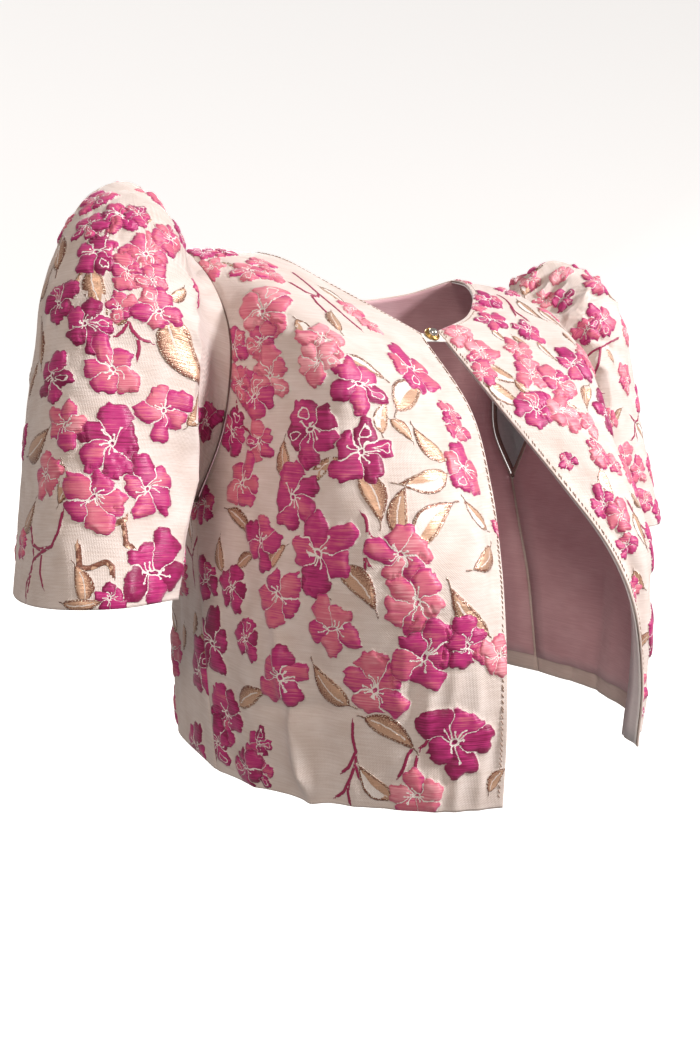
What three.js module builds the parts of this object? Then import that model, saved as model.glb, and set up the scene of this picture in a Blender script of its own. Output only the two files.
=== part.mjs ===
// Open-front bolero with butterfly sleeves, worn shape, in millimetres.
// +X is the wearer's left, -Y the front, +Z up.
// The origin lies midway between the side-neck points, at shoulder height.
import * as THREE from 'three';

// Driving dimensions
const brocadeWall = 1.6;
const liningWall = 1.0;
const seamGap = 0.3;
const liningGap = 0.65;
const facingWidth = 16;
const facingSetback = 0.6;
const liningShoulderSetback = 2;
const liningHemSetback = 12;
const tabEnds = { right: 10.7, leftBelow: 11.05, leftAbove: 9.7 };
const tabWidth = 9;
const tabThickness = 1.2;
const snapRadius = 6.2;
const snapHeight = 2.8;
const pleatsPerSide = 4;
const pleatHeight = 3.0;

// Finishes
const finish = {
  brocade: { color: 0xd9b7b4, roughness: 0.55, metalness: 0 },
  facing: { color: 0xf0ecec, roughness: 0.7, metalness: 0 },
  lining: { color: 0xb98a95, roughness: 0.5, metalness: 0 },
  tab: { color: 0xf4f1ee, roughness: 0.7, metalness: 0 },
  snap: { color: 0xc9c7c2, roughness: 0.25, metalness: 1 },
};

// Front panel, left side: one row for each level, points across from the open edge to the side.
// The edge follows the neckline down to the neck corner, then the front opening. The right front
// ends further from the middle at the neck, where the tab bridges the gap.
const frontLevels = [
  { level: 'shoulder',
    edge: [104, 24, -12], inner: [122, 22, -13], mid: [140, 19, -14],
    outer: [158, 15, -16], side: [176, 10, -21] },
  { level: 'collarbone',
    edge: [97, -2, -20], inner: [118, -9, -23], mid: [139, -15, -25],
    outer: [158, -16, -28], side: [175, -14, -34] },
  { level: 'neck side',
    edge: [80, -26, -36], inner: [104, -42, -42], mid: [130, -54, -48],
    outer: [154, -53, -50], side: [173, -33, -54] },
  { level: 'neck front',
    edge: [48, -48, -56], inner: [81, -73, -69], mid: [117, -91, -78],
    outer: [150, -85, -79], side: [170, -42, -81] },
  { level: 'neck corner',
    edge: [0, -65, -71], edgeRight: [20.5, -67, -74], inner: [54, -97, -96],
    mid: [105, -117, -106], outer: [147, -103, -110], side: [168, -37, -113] },
  { level: 'chest',
    edge: [15, -116, -130], edgeRight: [20, -118, -130], inner: [62, -137, -139],
    mid: [109, -139, -145], outer: [150, -111, -149], side: [168, -23, -150] },
  { level: 'underarm',
    edge: [38, -156, -185], inner: [79, -169, -190], mid: [123, -161, -193],
    outer: [159, -115, -195], side: [174, 4, -197] },
  { level: 'bust',
    edge: [59, -183, -230], inner: [94, -188, -234], mid: [133, -168, -237],
    outer: [165, -114, -240], side: [178, -3, -240] },
  { level: 'under bust',
    edge: [71, -199, -275], inner: [103, -191, -278], mid: [139, -162, -281],
    outer: [168, -108, -285], side: [181, -13, -288] },
  { level: 'waist',
    edge: [76, -205, -330], inner: [107, -188, -331], mid: [140, -155, -333],
    outer: [168, -100, -338], side: [181.5, -21, -340] },
  { level: 'hem',
    edge: [76, -203, -379], inner: [108, -184, -379], mid: [140, -151, -379],
    outer: [168, -95, -382], side: [181, -28, -385] },
];

// Back panel, left half: points across from the centre back to the side.
const backLevels = [
  { level: 'shoulder',
    centre: [0, 64, -34], nape: [70, 52, -25], neck: [104, 24, -12],
    blade: [140, 19, -14], side: [176, 10, -21] },
  { level: 'nape',
    centre: [0, 74, -50], nape: [57, 68, -45], neck: [104, 45, -30],
    blade: [143, 38, -30], side: [175, 23, -35] },
  { level: 'yoke',
    centre: [0, 84, -72], nape: [58, 80, -67], neck: [106, 62, -56],
    blade: [146, 52, -56], side: [173, 29, -61] },
  { level: 'upper blade',
    centre: [0, 92, -95], nape: [60, 89, -91], neck: [109, 74, -83],
    blade: [148, 61, -85], side: [171, 31, -90] },
  { level: 'blade',
    centre: [0, 98, -120], nape: [61, 96, -117], neck: [111, 83, -112],
    blade: [149, 66, -116], side: [170, 29, -121] },
  { level: 'chest',
    centre: [0, 103, -150], nape: [62, 102, -148], neck: [113, 89, -146],
    blade: [151, 67, -148], side: [170, 25, -154] },
  { level: 'underarm',
    centre: [0, 107, -192], nape: [63, 106, -193], neck: [117, 93, -194],
    blade: [156, 66, -195], side: [174, 4, -197] },
  { level: 'bust',
    centre: [0, 110, -236], nape: [64, 109, -237], neck: [120, 95, -238],
    blade: [160, 64, -240], side: [178, -3, -240] },
  { level: 'under bust',
    centre: [0, 111, -282], nape: [65, 110, -283], neck: [122, 96, -284],
    blade: [163, 62, -286], side: [181, -13, -288] },
  { level: 'waist',
    centre: [0, 112, -335], nape: [65, 111, -336], neck: [124, 96, -337],
    blade: [165, 60, -338], side: [181.5, -21, -340] },
  { level: 'hem',
    centre: [0, 112, -384], nape: [65, 111, -384], neck: [124, 96, -384],
    blade: [165, 58, -385], side: [181, -28, -385] },
];
const neckCornerRow = 4;
const underarmRow = 6;

// Sleeve, left side: one row for each lengthwise line, from the armhole over the head to the hem.
// around is the place on the sleeve's girth, armhole the place on the armhole, both from the top
// towards the front and round; the armhole end itself is taken from the panels.
const sleeveLines = [
  { line: 'top', around: 0, armhole: 0,
    rise: [193, 5, -3], crown: [219, -2, 12], cap: [251, -4, -4], upper: [276, -4, -50],
    middle: [289, -5, -125], lower: [298, -10, -190], hem: [306, -16, -246] },
  { line: 'front outer', around: 0.12, armhole: 0.035,
    rise: [192, -13, -19], crown: [213, -22, 2], cap: [247, -35, -10], upper: [272, -46, -54],
    middle: [286, -53, -125], lower: [295, -62, -188], hem: [302, -70, -242] },
  { line: 'front', around: 0.24, armhole: 0.075,
    rise: [191, -27, -37], crown: [206, -38, -18], cap: [229, -53, -27], upper: [245, -64, -64],
    middle: [255, -71, -125], lower: [263, -81, -188], hem: [270, -92, -242] },
  { line: 'front crease', around: 0.34, armhole: 0.13,
    rise: [189, -39, -60], crown: [200, -48, -58], cap: [207, -57, -67], upper: [211, -64, -89],
    middle: [214, -68, -127], lower: [220, -69, -190], hem: [231, -71, -246] },
  { line: 'inner front', around: 0.44, armhole: 0.3,
    rise: [176, -32, -122], crown: [183, -34, -125], cap: [190, -37, -132], upper: [197, -40, -146],
    middle: [205, -44, -172], lower: [212, -46, -208], hem: [221, -46, -248] },
  { line: 'underarm', around: 0.54, armhole: 0.5,
    rise: [179, 3, -199], crown: [184, 0, -201], cap: [190, -3, -205], upper: [197, -6, -211],
    middle: [204, -9, -221], lower: [211, -12, -234], hem: [219, -14, -248] },
  { line: 'inner back', around: 0.64, armhole: 0.7,
    rise: [177, 30, -122], crown: [184, 32, -125], cap: [192, 33, -132], upper: [201, 34, -146],
    middle: [209, 33, -172], lower: [216, 30, -208], hem: [226, 22, -248] },
  { line: 'back', around: 0.78, armhole: 0.9,
    rise: [190, 33, -30], crown: [203, 42, -13], cap: [219, 49, -30], upper: [234, 53, -72],
    middle: [243, 53, -125], lower: [251, 50, -190], hem: [260, 46, -246] },
  { line: 'back outer', around: 0.9, armhole: 0.955,
    rise: [192, 19, -12], crown: [214, 22, 4], cap: [239, 28, -12], upper: [259, 33, -57],
    middle: [274, 34, -125], lower: [285, 33, -190], hem: [294, 28, -246] },
];

// Vertical folds and soft dents of the fronts: where they run, how wide and how deep.
// across runs 0 to 1 from the open edge to the side, down runs 0 to 1 from shoulder to hem.
const frontFolds = {
  right: [
    { across: 0.86, down: 0.86, wide: 0.05, tall: 0.2, height: 3.2 },
    { across: 0.74, down: 0.88, wide: 0.06, tall: 0.2, height: -2.2 },
    { across: 0.55, down: 0.82, wide: 0.3, tall: 0.03, height: -1.6 },
    { across: 0.25, down: 0.72, wide: 0.16, tall: 0.05, height: 1.6 },
    { across: 0.9, down: 0.46, wide: 0.06, tall: 0.2, height: 2.4 },
  ],
  left: [
    { across: 0.8, down: 0.88, wide: 0.06, tall: 0.2, height: 2.6 },
    { across: 0.5, down: 0.78, wide: 0.22, tall: 0.04, height: -1.6 },
    { across: 0.3, down: 0.58, wide: 0.14, tall: 0.05, height: 1.4 },
    { across: 0.9, down: 0.42, wide: 0.06, tall: 0.2, height: 2.0 },
    { across: 0.11, down: 1.02, wide: 0.06, tall: 0.3, height: -11 },
  ],
};
const backFolds = [
  { across: 0.12, down: 0.8, wide: 0.03, tall: 0.22, height: 2.6 },
  { across: 0.36, down: 0.86, wide: 0.04, tall: 0.18, height: -2.0 },
  { across: 0.62, down: 0.84, wide: 0.04, tall: 0.2, height: 2.2 },
  { across: 0.89, down: 0.78, wide: 0.03, tall: 0.22, height: 2.4 },
];

// Mesh resolution
const stepsPerLevel = 2;
const frontColumns = 10;
const neckColumns = 6;
const sleeveRows = 14;
const headSamples = 34;
const underSamples = 12;

const vector = (point) => new THREE.Vector3(...point);

// Point at t on a smooth curve through control points. A corner gives one point its own two
// straight tangents, as strongly as its weight says.
function curvePoint(points, t, corner = { index: -1, weight: 0 }) {
  const last = points.length - 1;
  const scaled = Math.min(Math.max(t, 0), 1) * last;
  const index = Math.min(Math.floor(scaled), last - 1);
  const local = scaled - index;
  const tangent = (i, leaving) => {
    const before = points[Math.max(i - 1, 0)];
    const after = points[Math.min(i + 1, last)];
    const smooth = after.clone().sub(before).multiplyScalar(i === 0 || i === last ? 1 : 0.5);
    if (i !== corner.index) return smooth;
    const straight = leaving ? after.clone().sub(points[i]) : points[i].clone().sub(before);
    return smooth.lerp(straight, corner.weight);
  };
  const square = local * local;
  const cube = square * local;
  return new THREE.Vector3()
    .addScaledVector(points[index], 2 * cube - 3 * square + 1)
    .addScaledVector(tangent(index, true), cube - 2 * square + local)
    .addScaledVector(points[index + 1], 3 * square - 2 * cube)
    .addScaledVector(tangent(index + 1, false), cube - square);
}

// Height of all folds at one place of a panel.
function foldHeight(folds, across, down) {
  return folds.reduce((sum, fold) => {
    const sideways = (across - fold.across) / fold.wide;
    const lengthways = (down - fold.down) / fold.tall;
    return sum + fold.height * Math.exp(-sideways * sideways - lengthways * lengthways);
  }, 0);
}

// Unit normals of a grid, by the differences between neighbouring points.
function gridNormals(grid, closed, direction) {
  const rows = grid.length;
  const columns = grid[0].length;
  return grid.map((row, i) => row.map((point, j) => {
    const left = closed ? row[(j + columns - 1) % columns] : row[Math.max(j - 1, 0)];
    const right = closed ? row[(j + 1) % columns] : row[Math.min(j + 1, columns - 1)];
    const above = grid[Math.max(i - 1, 0)][j];
    const below = grid[Math.min(i + 1, rows - 1)][j];
    const across = right.clone().sub(left);
    const down = below.clone().sub(above);
    return across.cross(down).normalize().multiplyScalar(direction);
  }));
}

// Fronts: the surface of one panel, given as if it were the left one
function frontSurface(side, across, down) {
  const column = frontLevels.map((row) => {
    const edge = (side === 'right' && row.edgeRight) || row.edge;
    return curvePoint([edge, row.inner, row.mid, row.outer, row.side].map(vector), across);
  });
  const edgeWeight = Math.max(0, 1 - across * 5);
  const sideWeight = Math.max(0, across * 5 - 4);
  const corner = edgeWeight > 0
    ? { index: neckCornerRow, weight: edgeWeight }
    : { index: underarmRow, weight: sideWeight };
  return curvePoint(column, down, corner);
}

// Back: surface(across, down) of the whole panel, across from the wearer's right side to the left
function backSurface(across, down) {
  const names = ['side', 'blade', 'neck', 'nape', 'centre', 'nape', 'neck', 'blade', 'side'];
  const half = Math.abs(across * 2 - 1);
  const sign = across < 0.5 ? -1 : 1;
  const sideWeight = Math.max(0, half * 5 - 4);
  const column = backLevels.map((row, i) => {
    const points = names.map((name, k) => vector(row[name]).multiply(vector([k < 4 ? -1 : 1, 1, 1])));
    const neckIndex = sign < 0 ? 2 : 6;
    return curvePoint(points, across, { index: neckIndex, weight: Math.max(0, 1 - i / 2) });
  });
  return curvePoint(column, down, { index: underarmRow, weight: sideWeight });
}

const rows = (frontLevels.length - 1) * stepsPerLevel;
const underarmStep = underarmRow * stepsPerLevel;
const downSteps = Array.from({ length: rows + 1 }, (_, i) => i / rows);

// The facing's inner edge is a fixed width from the open edge on every level.
function frontAcross(side, j, down) {
  if (j === 0) return 0;
  const quarter = frontSurface(side, 0, down).distanceTo(frontSurface(side, 0.25, down));
  const facingShare = facingWidth / (4 * quarter);
  return facingShare + (1 - facingShare) * (j - 1) / (frontColumns - 1);
}

const frontGrids = {};
for (const side of ['right', 'left']) {
  frontGrids[side] = downSteps.map((down) => Array.from({ length: frontColumns + 1 },
    (_, j) => frontSurface(side, frontAcross(side, j, down), down)));
}

// The back's shoulder columns sit on the fronts' shoulder columns.
const neckAcross = 0.25;
const shoulderColumns = Array.from({ length: frontColumns + 1 },
  (_, j) => neckAcross * (1 - frontAcross('left', j, 0)));
const backAcross = [
  ...shoulderColumns.slice().reverse(),
  ...Array.from({ length: neckColumns - 1 },
    (_, k) => neckAcross + (1 - 2 * neckAcross) * (k + 1) / neckColumns),
  ...shoulderColumns.map((value) => 1 - value),
];
const backGrid = downSteps.map((down) => backAcross.map((across) => backSurface(across, down)));
const lastColumn = backAcross.length - 1;
const leftNeckColumn = lastColumn - frontColumns;

// Both sides of a seam share its points.
for (let j = 0; j <= frontColumns; j += 1) {
  const point = frontGrids.left[0][j];
  backGrid[0][leftNeckColumn + j].copy(point);
  backGrid[0][frontColumns - j].copy(point).setX(-point.x);
}
for (let i = underarmStep; i <= rows; i += 1) {
  const point = frontGrids.left[i][frontColumns];
  backGrid[i][lastColumn].copy(point);
  backGrid[i][0].copy(point).setX(-point.x);
}

function mirrorGrid(grid) {
  return grid.map((row) => row.map((point) => point.clone().setX(-point.x)));
}

// Folds lift the cloth along its normal and die out at the seams.
function foldGrid(grid, normals, folds, acrossOf) {
  return grid.map((row, i) => row.map((point, j) => {
    const across = acrossOf(j, downSteps[i]);
    const seamFade = Math.min(1, i / 3) * Math.min(1, (row.length - 1 - j) / 2);
    const edgeFade = folds === backFolds ? Math.min(1, j / 2) : 1;
    const height = foldHeight(folds, across, downSteps[i]) * seamFade * edgeFade;
    return point.clone().addScaledVector(normals[i][j], height);
  }));
}

// Walls lean the same way on both sides of a seam.
const fronts = {};
const frontNormals = {};
for (const side of ['right', 'left']) {
  const grid = frontGrids[side];
  const acrossOf = (j, down) => frontAcross(side, j, down);
  fronts[side] = foldGrid(grid, gridNormals(grid, false, -1), frontFolds[side], acrossOf);
  frontNormals[side] = gridNormals(fronts[side], false, -1);
}
const backSmoothNormals = gridNormals(backGrid, false, 1);
const backFolded = foldGrid(backGrid, backSmoothNormals, backFolds, (j) => backAcross[j]);
const backNormals = gridNormals(backFolded, false, 1);
const flipX = (normal) => normal.clone().setX(-normal.x);
function shareNormal(frontNormal, backNormal, mirrored) {
  const backHere = mirrored ? flipX(backNormal) : backNormal.clone();
  const shared = frontNormal.clone().add(backHere).normalize();
  frontNormal.copy(shared);
  backNormal.copy(mirrored ? flipX(shared) : shared);
}
for (let j = 0; j <= frontColumns; j += 1) {
  shareNormal(frontNormals.left[0][j], backNormals[0][leftNeckColumn + j], false);
  shareNormal(frontNormals.right[0][j], backNormals[0][frontColumns - j], true);
}
for (let i = underarmStep; i <= rows; i += 1) {
  shareNormal(frontNormals.left[i][frontColumns], backNormals[i][lastColumn], false);
  shareNormal(frontNormals.right[i][frontColumns], backNormals[i][0], true);
}

// A grid moved along its normals, with its borders drawn back by the lengths in pull.
function layer(grid, normals, depth, range, pull) {
  const lastRow = grid.length - 1;
  const [from, to] = range || [0, grid[0].length - 1];
  return grid.map((row, i) => {
    const result = [];
    for (let j = from; j <= to; j += 1) {
      const point = row[j].clone();
      const normal = normals[i][j].clone();
      const drawBack = (length, otherRow, otherColumn) => {
        const other = grid[otherRow][otherColumn];
        const share = length / other.distanceTo(row[j]);
        point.addScaledVector(other.clone().sub(row[j]), share);
        normal.addScaledVector(normals[otherRow][otherColumn].clone().sub(normals[i][j]), share);
      };
      if (j === from && pull.start) drawBack(pull.start, i, j + 1);
      if (j === to && pull.end) drawBack(pull.end, i, j - 1);
      if (i === 0 && pull.top) drawBack(pull.top, 1, j);
      if (i === lastRow && pull.bottom) drawBack(pull.bottom, lastRow - 1, j);
      result.push(point.addScaledVector(normal, -depth));
    }
    return result;
  });
}

// Closed solid between an outer and an inner grid; round joins the first and last columns.
function wallSolid(outer, inner, round = false) {
  const rowCount = outer.length;
  const columns = outer[0].length;
  const points = [...outer.flat(), ...inner.flat()];
  const innerStart = rowCount * columns;
  const triangles = [];
  const quad = (a, b, c, d) => triangles.push(a, b, c, a, c, d);
  const spans = round ? columns : columns - 1;
  for (let i = 0; i < rowCount - 1; i += 1) {
    for (let j = 0; j < spans; j += 1) {
      const next = (j + 1) % columns;
      const a = i * columns + j;
      const b = i * columns + next;
      const c = (i + 1) * columns + next;
      const d = (i + 1) * columns + j;
      quad(a, d, c, b);
      quad(innerStart + a, innerStart + b, innerStart + c, innerStart + d);
    }
  }
  for (let j = 0; j < spans; j += 1) {
    const next = (j + 1) % columns;
    const lastRow = (rowCount - 1) * columns;
    quad(j, next, innerStart + next, innerStart + j);
    quad(lastRow + next, lastRow + j, innerStart + lastRow + j, innerStart + lastRow + next);
  }
  if (!round) {
    for (let i = 0; i < rowCount - 1; i += 1) {
      const start = i * columns;
      const below = start + columns;
      quad(start, innerStart + start, innerStart + below, below);
      const end = start + columns - 1;
      const endBelow = end + columns;
      quad(end, endBelow, innerStart + endBelow, innerStart + end);
    }
  }
  return solidFrom(points, triangles);
}

// Geometry from points and triangles, turned so that its faces point out.
function solidFrom(points, triangles) {
  let volume = 0;
  for (let k = 0; k < triangles.length; k += 3) {
    const [a, b, c] = [points[triangles[k]], points[triangles[k + 1]], points[triangles[k + 2]]];
    volume += a.dot(b.clone().cross(c));
  }
  if (volume < 0) {
    for (let k = 0; k < triangles.length; k += 3) {
      [triangles[k + 1], triangles[k + 2]] = [triangles[k + 2], triangles[k + 1]];
    }
  }
  const geometry = new THREE.BufferGeometry();
  const numbers = points.flatMap((point) => [point.x, point.y, point.z]);
  geometry.setAttribute('position', new THREE.Float32BufferAttribute(numbers, 3));
  geometry.setIndex(triangles);
  geometry.computeVertexNormals();
  return geometry;
}

const bolero = new THREE.Group();

function addPiece(name, geometry, material) {
  const mesh = new THREE.Mesh(geometry, new THREE.MeshStandardMaterial(finish[material]));
  mesh.name = name;
  bolero.add(mesh);
  return mesh;
}

function sidedGeometry(side, outer, inner) {
  return side === 'left' ? wallSolid(outer, inner) : wallSolid(mirrorGrid(outer), mirrorGrid(inner));
}

// Fronts, their facings and their linings
const half = seamGap / 2;
const liningTop = brocadeWall + liningGap;
const liningBottom = liningTop + liningWall;
for (const side of ['right', 'left']) {
  const grid = fronts[side];
  const normals = frontNormals[side];
  const panel = (depth) => layer(grid, normals, depth, null, { top: half, end: half });
  const facing = (depth) => layer(grid, normals, depth, [0, 1],
    { top: liningShoulderSetback, start: facingSetback, end: half, bottom: facingSetback });
  const lining = (depth) => layer(grid, normals, depth, [1, frontColumns],
    { top: liningShoulderSetback, start: half, end: liningShoulderSetback, bottom: liningHemSetback });
  addPiece(`front_${side}`, sidedGeometry(side, panel(0), panel(brocadeWall)), 'brocade');
  addPiece(`facing_${side}`, sidedGeometry(side, facing(liningTop), facing(liningBottom)), 'facing');
  addPiece(`lining_front_${side}`, sidedGeometry(side, lining(liningTop), lining(liningBottom)), 'lining');
}

// Back and its lining
const backPanel = (depth) => layer(backFolded, backNormals, depth, null,
  { top: half, start: half, end: half });
const backLining = (depth) => layer(backFolded, backNormals, depth, null, {
  top: liningShoulderSetback, start: liningShoulderSetback, end: liningShoulderSetback, bottom: liningHemSetback,
});
addPiece('back', wallSolid(backPanel(0), backPanel(brocadeWall)), 'brocade');
addPiece('lining_back', wallSolid(backLining(liningTop), backLining(liningBottom)), 'lining');

// Armhole of the left side, as a loop from the shoulder tip down the front and up the back. Each
// point is moved away from the panel, and always outwards, to leave room for the seam.
const armholeOutward = 0.6;
const armholeClearance = seamGap + 0.25;
function armholeLoop() {
  const loop = [];
  for (let i = 0; i <= underarmStep; i += 1) {
    loop.push({ point: frontGrids.left[i][frontColumns], inside: frontGrids.left[i][frontColumns - 1] });
  }
  for (let i = underarmStep - 1; i > 0; i -= 1) {
    loop.push({ point: backGrid[i][lastColumn], inside: backGrid[i][lastColumn - 1] });
  }
  const away = loop.map(({ point, inside }) => {
    const direction = point.clone().sub(inside).normalize();
    direction.x = Math.max(direction.x, armholeOutward);
    return point.clone().addScaledVector(direction.normalize(), armholeClearance);
  });
  const lengths = [0];
  away.forEach((point, k) => lengths.push(lengths[k] + point.distanceTo(away[(k + 1) % away.length])));
  const total = lengths[lengths.length - 1];
  return (share) => {
    const target = (((share % 1) + 1) % 1) * total;
    let k = 0;
    while (lengths[k + 1] < target) k += 1;
    const local = (target - lengths[k]) / (lengths[k + 1] - lengths[k]);
    return away[k].clone().lerp(away[(k + 1) % away.length], local);
  };
}
const armholeAt = armholeLoop();

// Sleeve surface: around and along both run 0 to 1, along from the armhole to the hem
const stations = ['rise', 'crown', 'cap', 'upper', 'middle', 'lower', 'hem'];
function periodicPoint(lines, key, around) {
  const count = lines.length;
  const start = (k) => lines[((k % count) + count) % count].around + Math.floor(k / count);
  let k = 0;
  while (k < count - 1 && start(k + 1) <= around) k += 1;
  const local = (around - start(k)) / (start(k + 1) - start(k));
  const value = (index) => key(lines[((index % count) + count) % count], Math.floor(index / count));
  const tangent = (index) => value(index + 1).clone().sub(value(index - 1))
    .multiplyScalar((start(k + 1) - start(k)) / (start(index + 1) - start(index - 1)));
  const square = local * local;
  const cube = square * local;
  return new THREE.Vector3()
    .addScaledVector(value(k), 2 * cube - 3 * square + 1)
    .addScaledVector(tangent(k), cube - 2 * square + local)
    .addScaledVector(value(k + 1), 3 * square - 2 * cube)
    .addScaledVector(tangent(k + 1), cube - square);
}

function sleeveSurface(around, along) {
  const place = periodicPoint(sleeveLines, (line, turn) => vector([line.armhole + turn, 0, 0]), around);
  const line = [armholeAt(place.x)];
  for (const station of stations) {
    line.push(periodicPoint(sleeveLines, (row) => vector(row[station]), around));
  }
  return curvePoint(line, along);
}

// The head runs from the front crease over the top to the back line and carries the pleats.
const headStart = -0.22;
const headEnd = 0.34;
const aroundSteps = [
  ...Array.from({ length: headSamples }, (_, k) => headStart + (headEnd - headStart) * k / headSamples),
  ...Array.from({ length: underSamples }, (_, k) => headEnd + (1 + headStart - headEnd) * k / underSamples),
].map((value) => (value + 1) % 1);
const alongSteps = Array.from({ length: sleeveRows + 1 }, (_, i) => i / sleeveRows);

// Knife pleats, folded towards the shoulder tip and dying out below the cap.
function pleatLift(around, along) {
  const signed = around > 0.5 ? around - 1 : around;
  const share = signed > 0 ? signed / headEnd : signed / headStart;
  if (share >= 1) return 0;
  const phase = (share * pleatsPerSide) % 1;
  const ridge = phase < 0.25 ? phase / 0.25 : 1 - (phase - 0.25) / 0.75;
  const fade = Math.sin(Math.PI * Math.min(along / 0.42, 1)) ** 0.8;
  return pleatHeight * (ridge - 0.5) * Math.max(fade, 0) * Math.min(1, (1 - share) * 4);
}

function sleeveGrid() {
  const smooth = alongSteps.map((along) => aroundSteps.map((around) => sleeveSurface(around, along)));
  const normals = gridNormals(smooth, true, 1);
  return smooth.map((row, i) => row.map((point, j) => point.clone()
    .addScaledVector(normals[i][j], pleatLift(aroundSteps[j], alongSteps[i]))));
}
const sleeveOuter = sleeveGrid();
const sleeveNormals = gridNormals(sleeveOuter, true, 1);
const sleeveInner = layer(sleeveOuter, sleeveNormals, brocadeWall, null, {});
addPiece('sleeve_left', wallSolid(sleeveOuter, sleeveInner, true), 'brocade');
addPiece('sleeve_right', wallSolid(mirrorGrid(sleeveOuter), mirrorGrid(sleeveInner), true), 'brocade');

// Neck tab and snap. The tab's ends follow the two edges. Both are set in a frame whose Z leans
// out of the chest, between the neck corners
const fasteningPlace = [-9.5, -68.6, -76.9];
const fasteningNormal = [-0.05, -0.72, 0.69];
const fastening = new THREE.Group();
fastening.position.set(...fasteningPlace);
fastening.quaternion.setFromUnitVectors(new THREE.Vector3(0, 0, 1), vector(fasteningNormal).normalize());
bolero.add(fastening);

function addFastener(name, geometry, material, place) {
  const mesh = new THREE.Mesh(geometry, new THREE.MeshStandardMaterial(finish[material]));
  mesh.name = name;
  mesh.position.set(...place);
  fastening.add(mesh);
}

const tabShape = new THREE.Shape([
  [-tabEnds.right, -tabWidth / 2], [tabEnds.leftBelow, -tabWidth / 2],
  [tabEnds.leftAbove, tabWidth / 2], [-tabEnds.right, tabWidth / 2],
].map(([x, y]) => new THREE.Vector2(x, y)));
const tabGeometry = new THREE.ExtrudeGeometry(tabShape, { depth: tabThickness, bevelEnabled: false });
addFastener('neck_tab', tabGeometry, 'tab', [0, 0, -tabThickness]);

// Snap cap: a disc with a rolled rim and a low dome
const rimWidth = 1.3;
const rimHeight = 2.1;
const capProfile = [
  [0, 0], [snapRadius - 0.8, 0], [snapRadius, 0.7], [snapRadius, rimHeight - 0.5],
  [snapRadius - rimWidth / 2, rimHeight], [snapRadius - rimWidth, rimHeight - 0.3],
  [snapRadius * 0.4, snapHeight - 0.2], [0, snapHeight],
].map(([radius, height]) => new THREE.Vector2(radius, height));
const capGeometry = new THREE.LatheGeometry(capProfile, 32).rotateX(Math.PI / 2);
const snapShift = 1.8;
addFastener('snap_cap', capGeometry, 'snap', [0, snapShift, seamGap]);

export default bolero;
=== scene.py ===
# %% [markdown]
# # A bolero in blossom brocade
# A short open jacket with raised, pleated sleeve heads. It is shown as it is worn, hollow and
# empty. The cloth is a figured brocade: a pale satin ground with raised blossoms in magenta and
# rose, thin stems, and leaves in tarnished gold thread.
# The solids of the part come first. Each panel of cloth is then made again as a fine shell on the
# form of its solid, because the pattern stands up from the ground and needs small faces.

# %% Load the solids
import math

import bpy
import numpy as np
from mathutils import Matrix, Vector


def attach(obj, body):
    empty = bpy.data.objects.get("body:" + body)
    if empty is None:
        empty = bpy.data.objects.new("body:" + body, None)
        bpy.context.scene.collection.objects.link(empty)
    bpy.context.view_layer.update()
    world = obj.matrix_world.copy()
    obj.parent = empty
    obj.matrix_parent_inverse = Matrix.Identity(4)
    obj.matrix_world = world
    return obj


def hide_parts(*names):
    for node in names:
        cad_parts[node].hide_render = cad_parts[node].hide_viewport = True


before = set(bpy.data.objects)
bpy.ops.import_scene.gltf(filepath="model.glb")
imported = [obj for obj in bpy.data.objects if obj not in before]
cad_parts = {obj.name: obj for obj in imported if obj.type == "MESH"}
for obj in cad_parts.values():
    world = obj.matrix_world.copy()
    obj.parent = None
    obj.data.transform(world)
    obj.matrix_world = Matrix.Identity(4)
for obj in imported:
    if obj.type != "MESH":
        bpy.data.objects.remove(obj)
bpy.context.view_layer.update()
print("solids:", len(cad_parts))

# %% [markdown]
# ## Camera
# The photograph is taken from the wearer's right, a little above the chest. The place, the turn and
# the focal length are a fit to points that lie alike on both sides of the garment.

# %% Add the camera
image_width = 700
focal_pixels = 829.0
camera_place = (-0.4578, -0.52605, -0.1344)
camera_azimuth = math.radians(-38.8)
camera_pitch = math.radians(7.6)
camera_roll = math.radians(-0.2)


def view_axes(azimuth, pitch, roll):
    level = math.cos(pitch)
    back = Vector((math.sin(azimuth) * level, -math.cos(azimuth) * level, math.sin(pitch)))
    right = Vector((math.cos(azimuth), math.sin(azimuth), 0.0))
    up = back.cross(right)
    turned_right = right * math.cos(roll) + up * math.sin(roll)
    turned_up = up * math.cos(roll) - right * math.sin(roll)
    return turned_right, turned_up, back


view_right, view_up, view_back = view_axes(camera_azimuth, camera_pitch, camera_roll)
camera_data = bpy.data.cameras.new("photo_camera")
camera_data.sensor_fit = "HORIZONTAL"
camera_data.sensor_width = 36.0
camera_data.lens = focal_pixels / image_width * camera_data.sensor_width
camera_data.clip_start = 0.02
camera = bpy.data.objects.new("photo_camera", camera_data)
bpy.context.scene.collection.objects.link(camera)
turn = Matrix((view_right, view_up, view_back)).transposed().to_4x4()
camera.matrix_world = Matrix.Translation(camera_place) @ turn
bpy.context.scene.camera = camera
print("lens in mm:", round(camera_data.lens, 2))

# %% [markdown]
# ## The form of the panels
# The garment is cut from two fronts, a back and two sleeves. Each panel's surface runs smoothly
# through a short table of points in millimetres, the same points that shaped the solids.
# X points to the wearer's left, minus Y is the front and Z is up. The fronts are given as if both
# were the left one; the right one is mirrored at the end.

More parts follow.
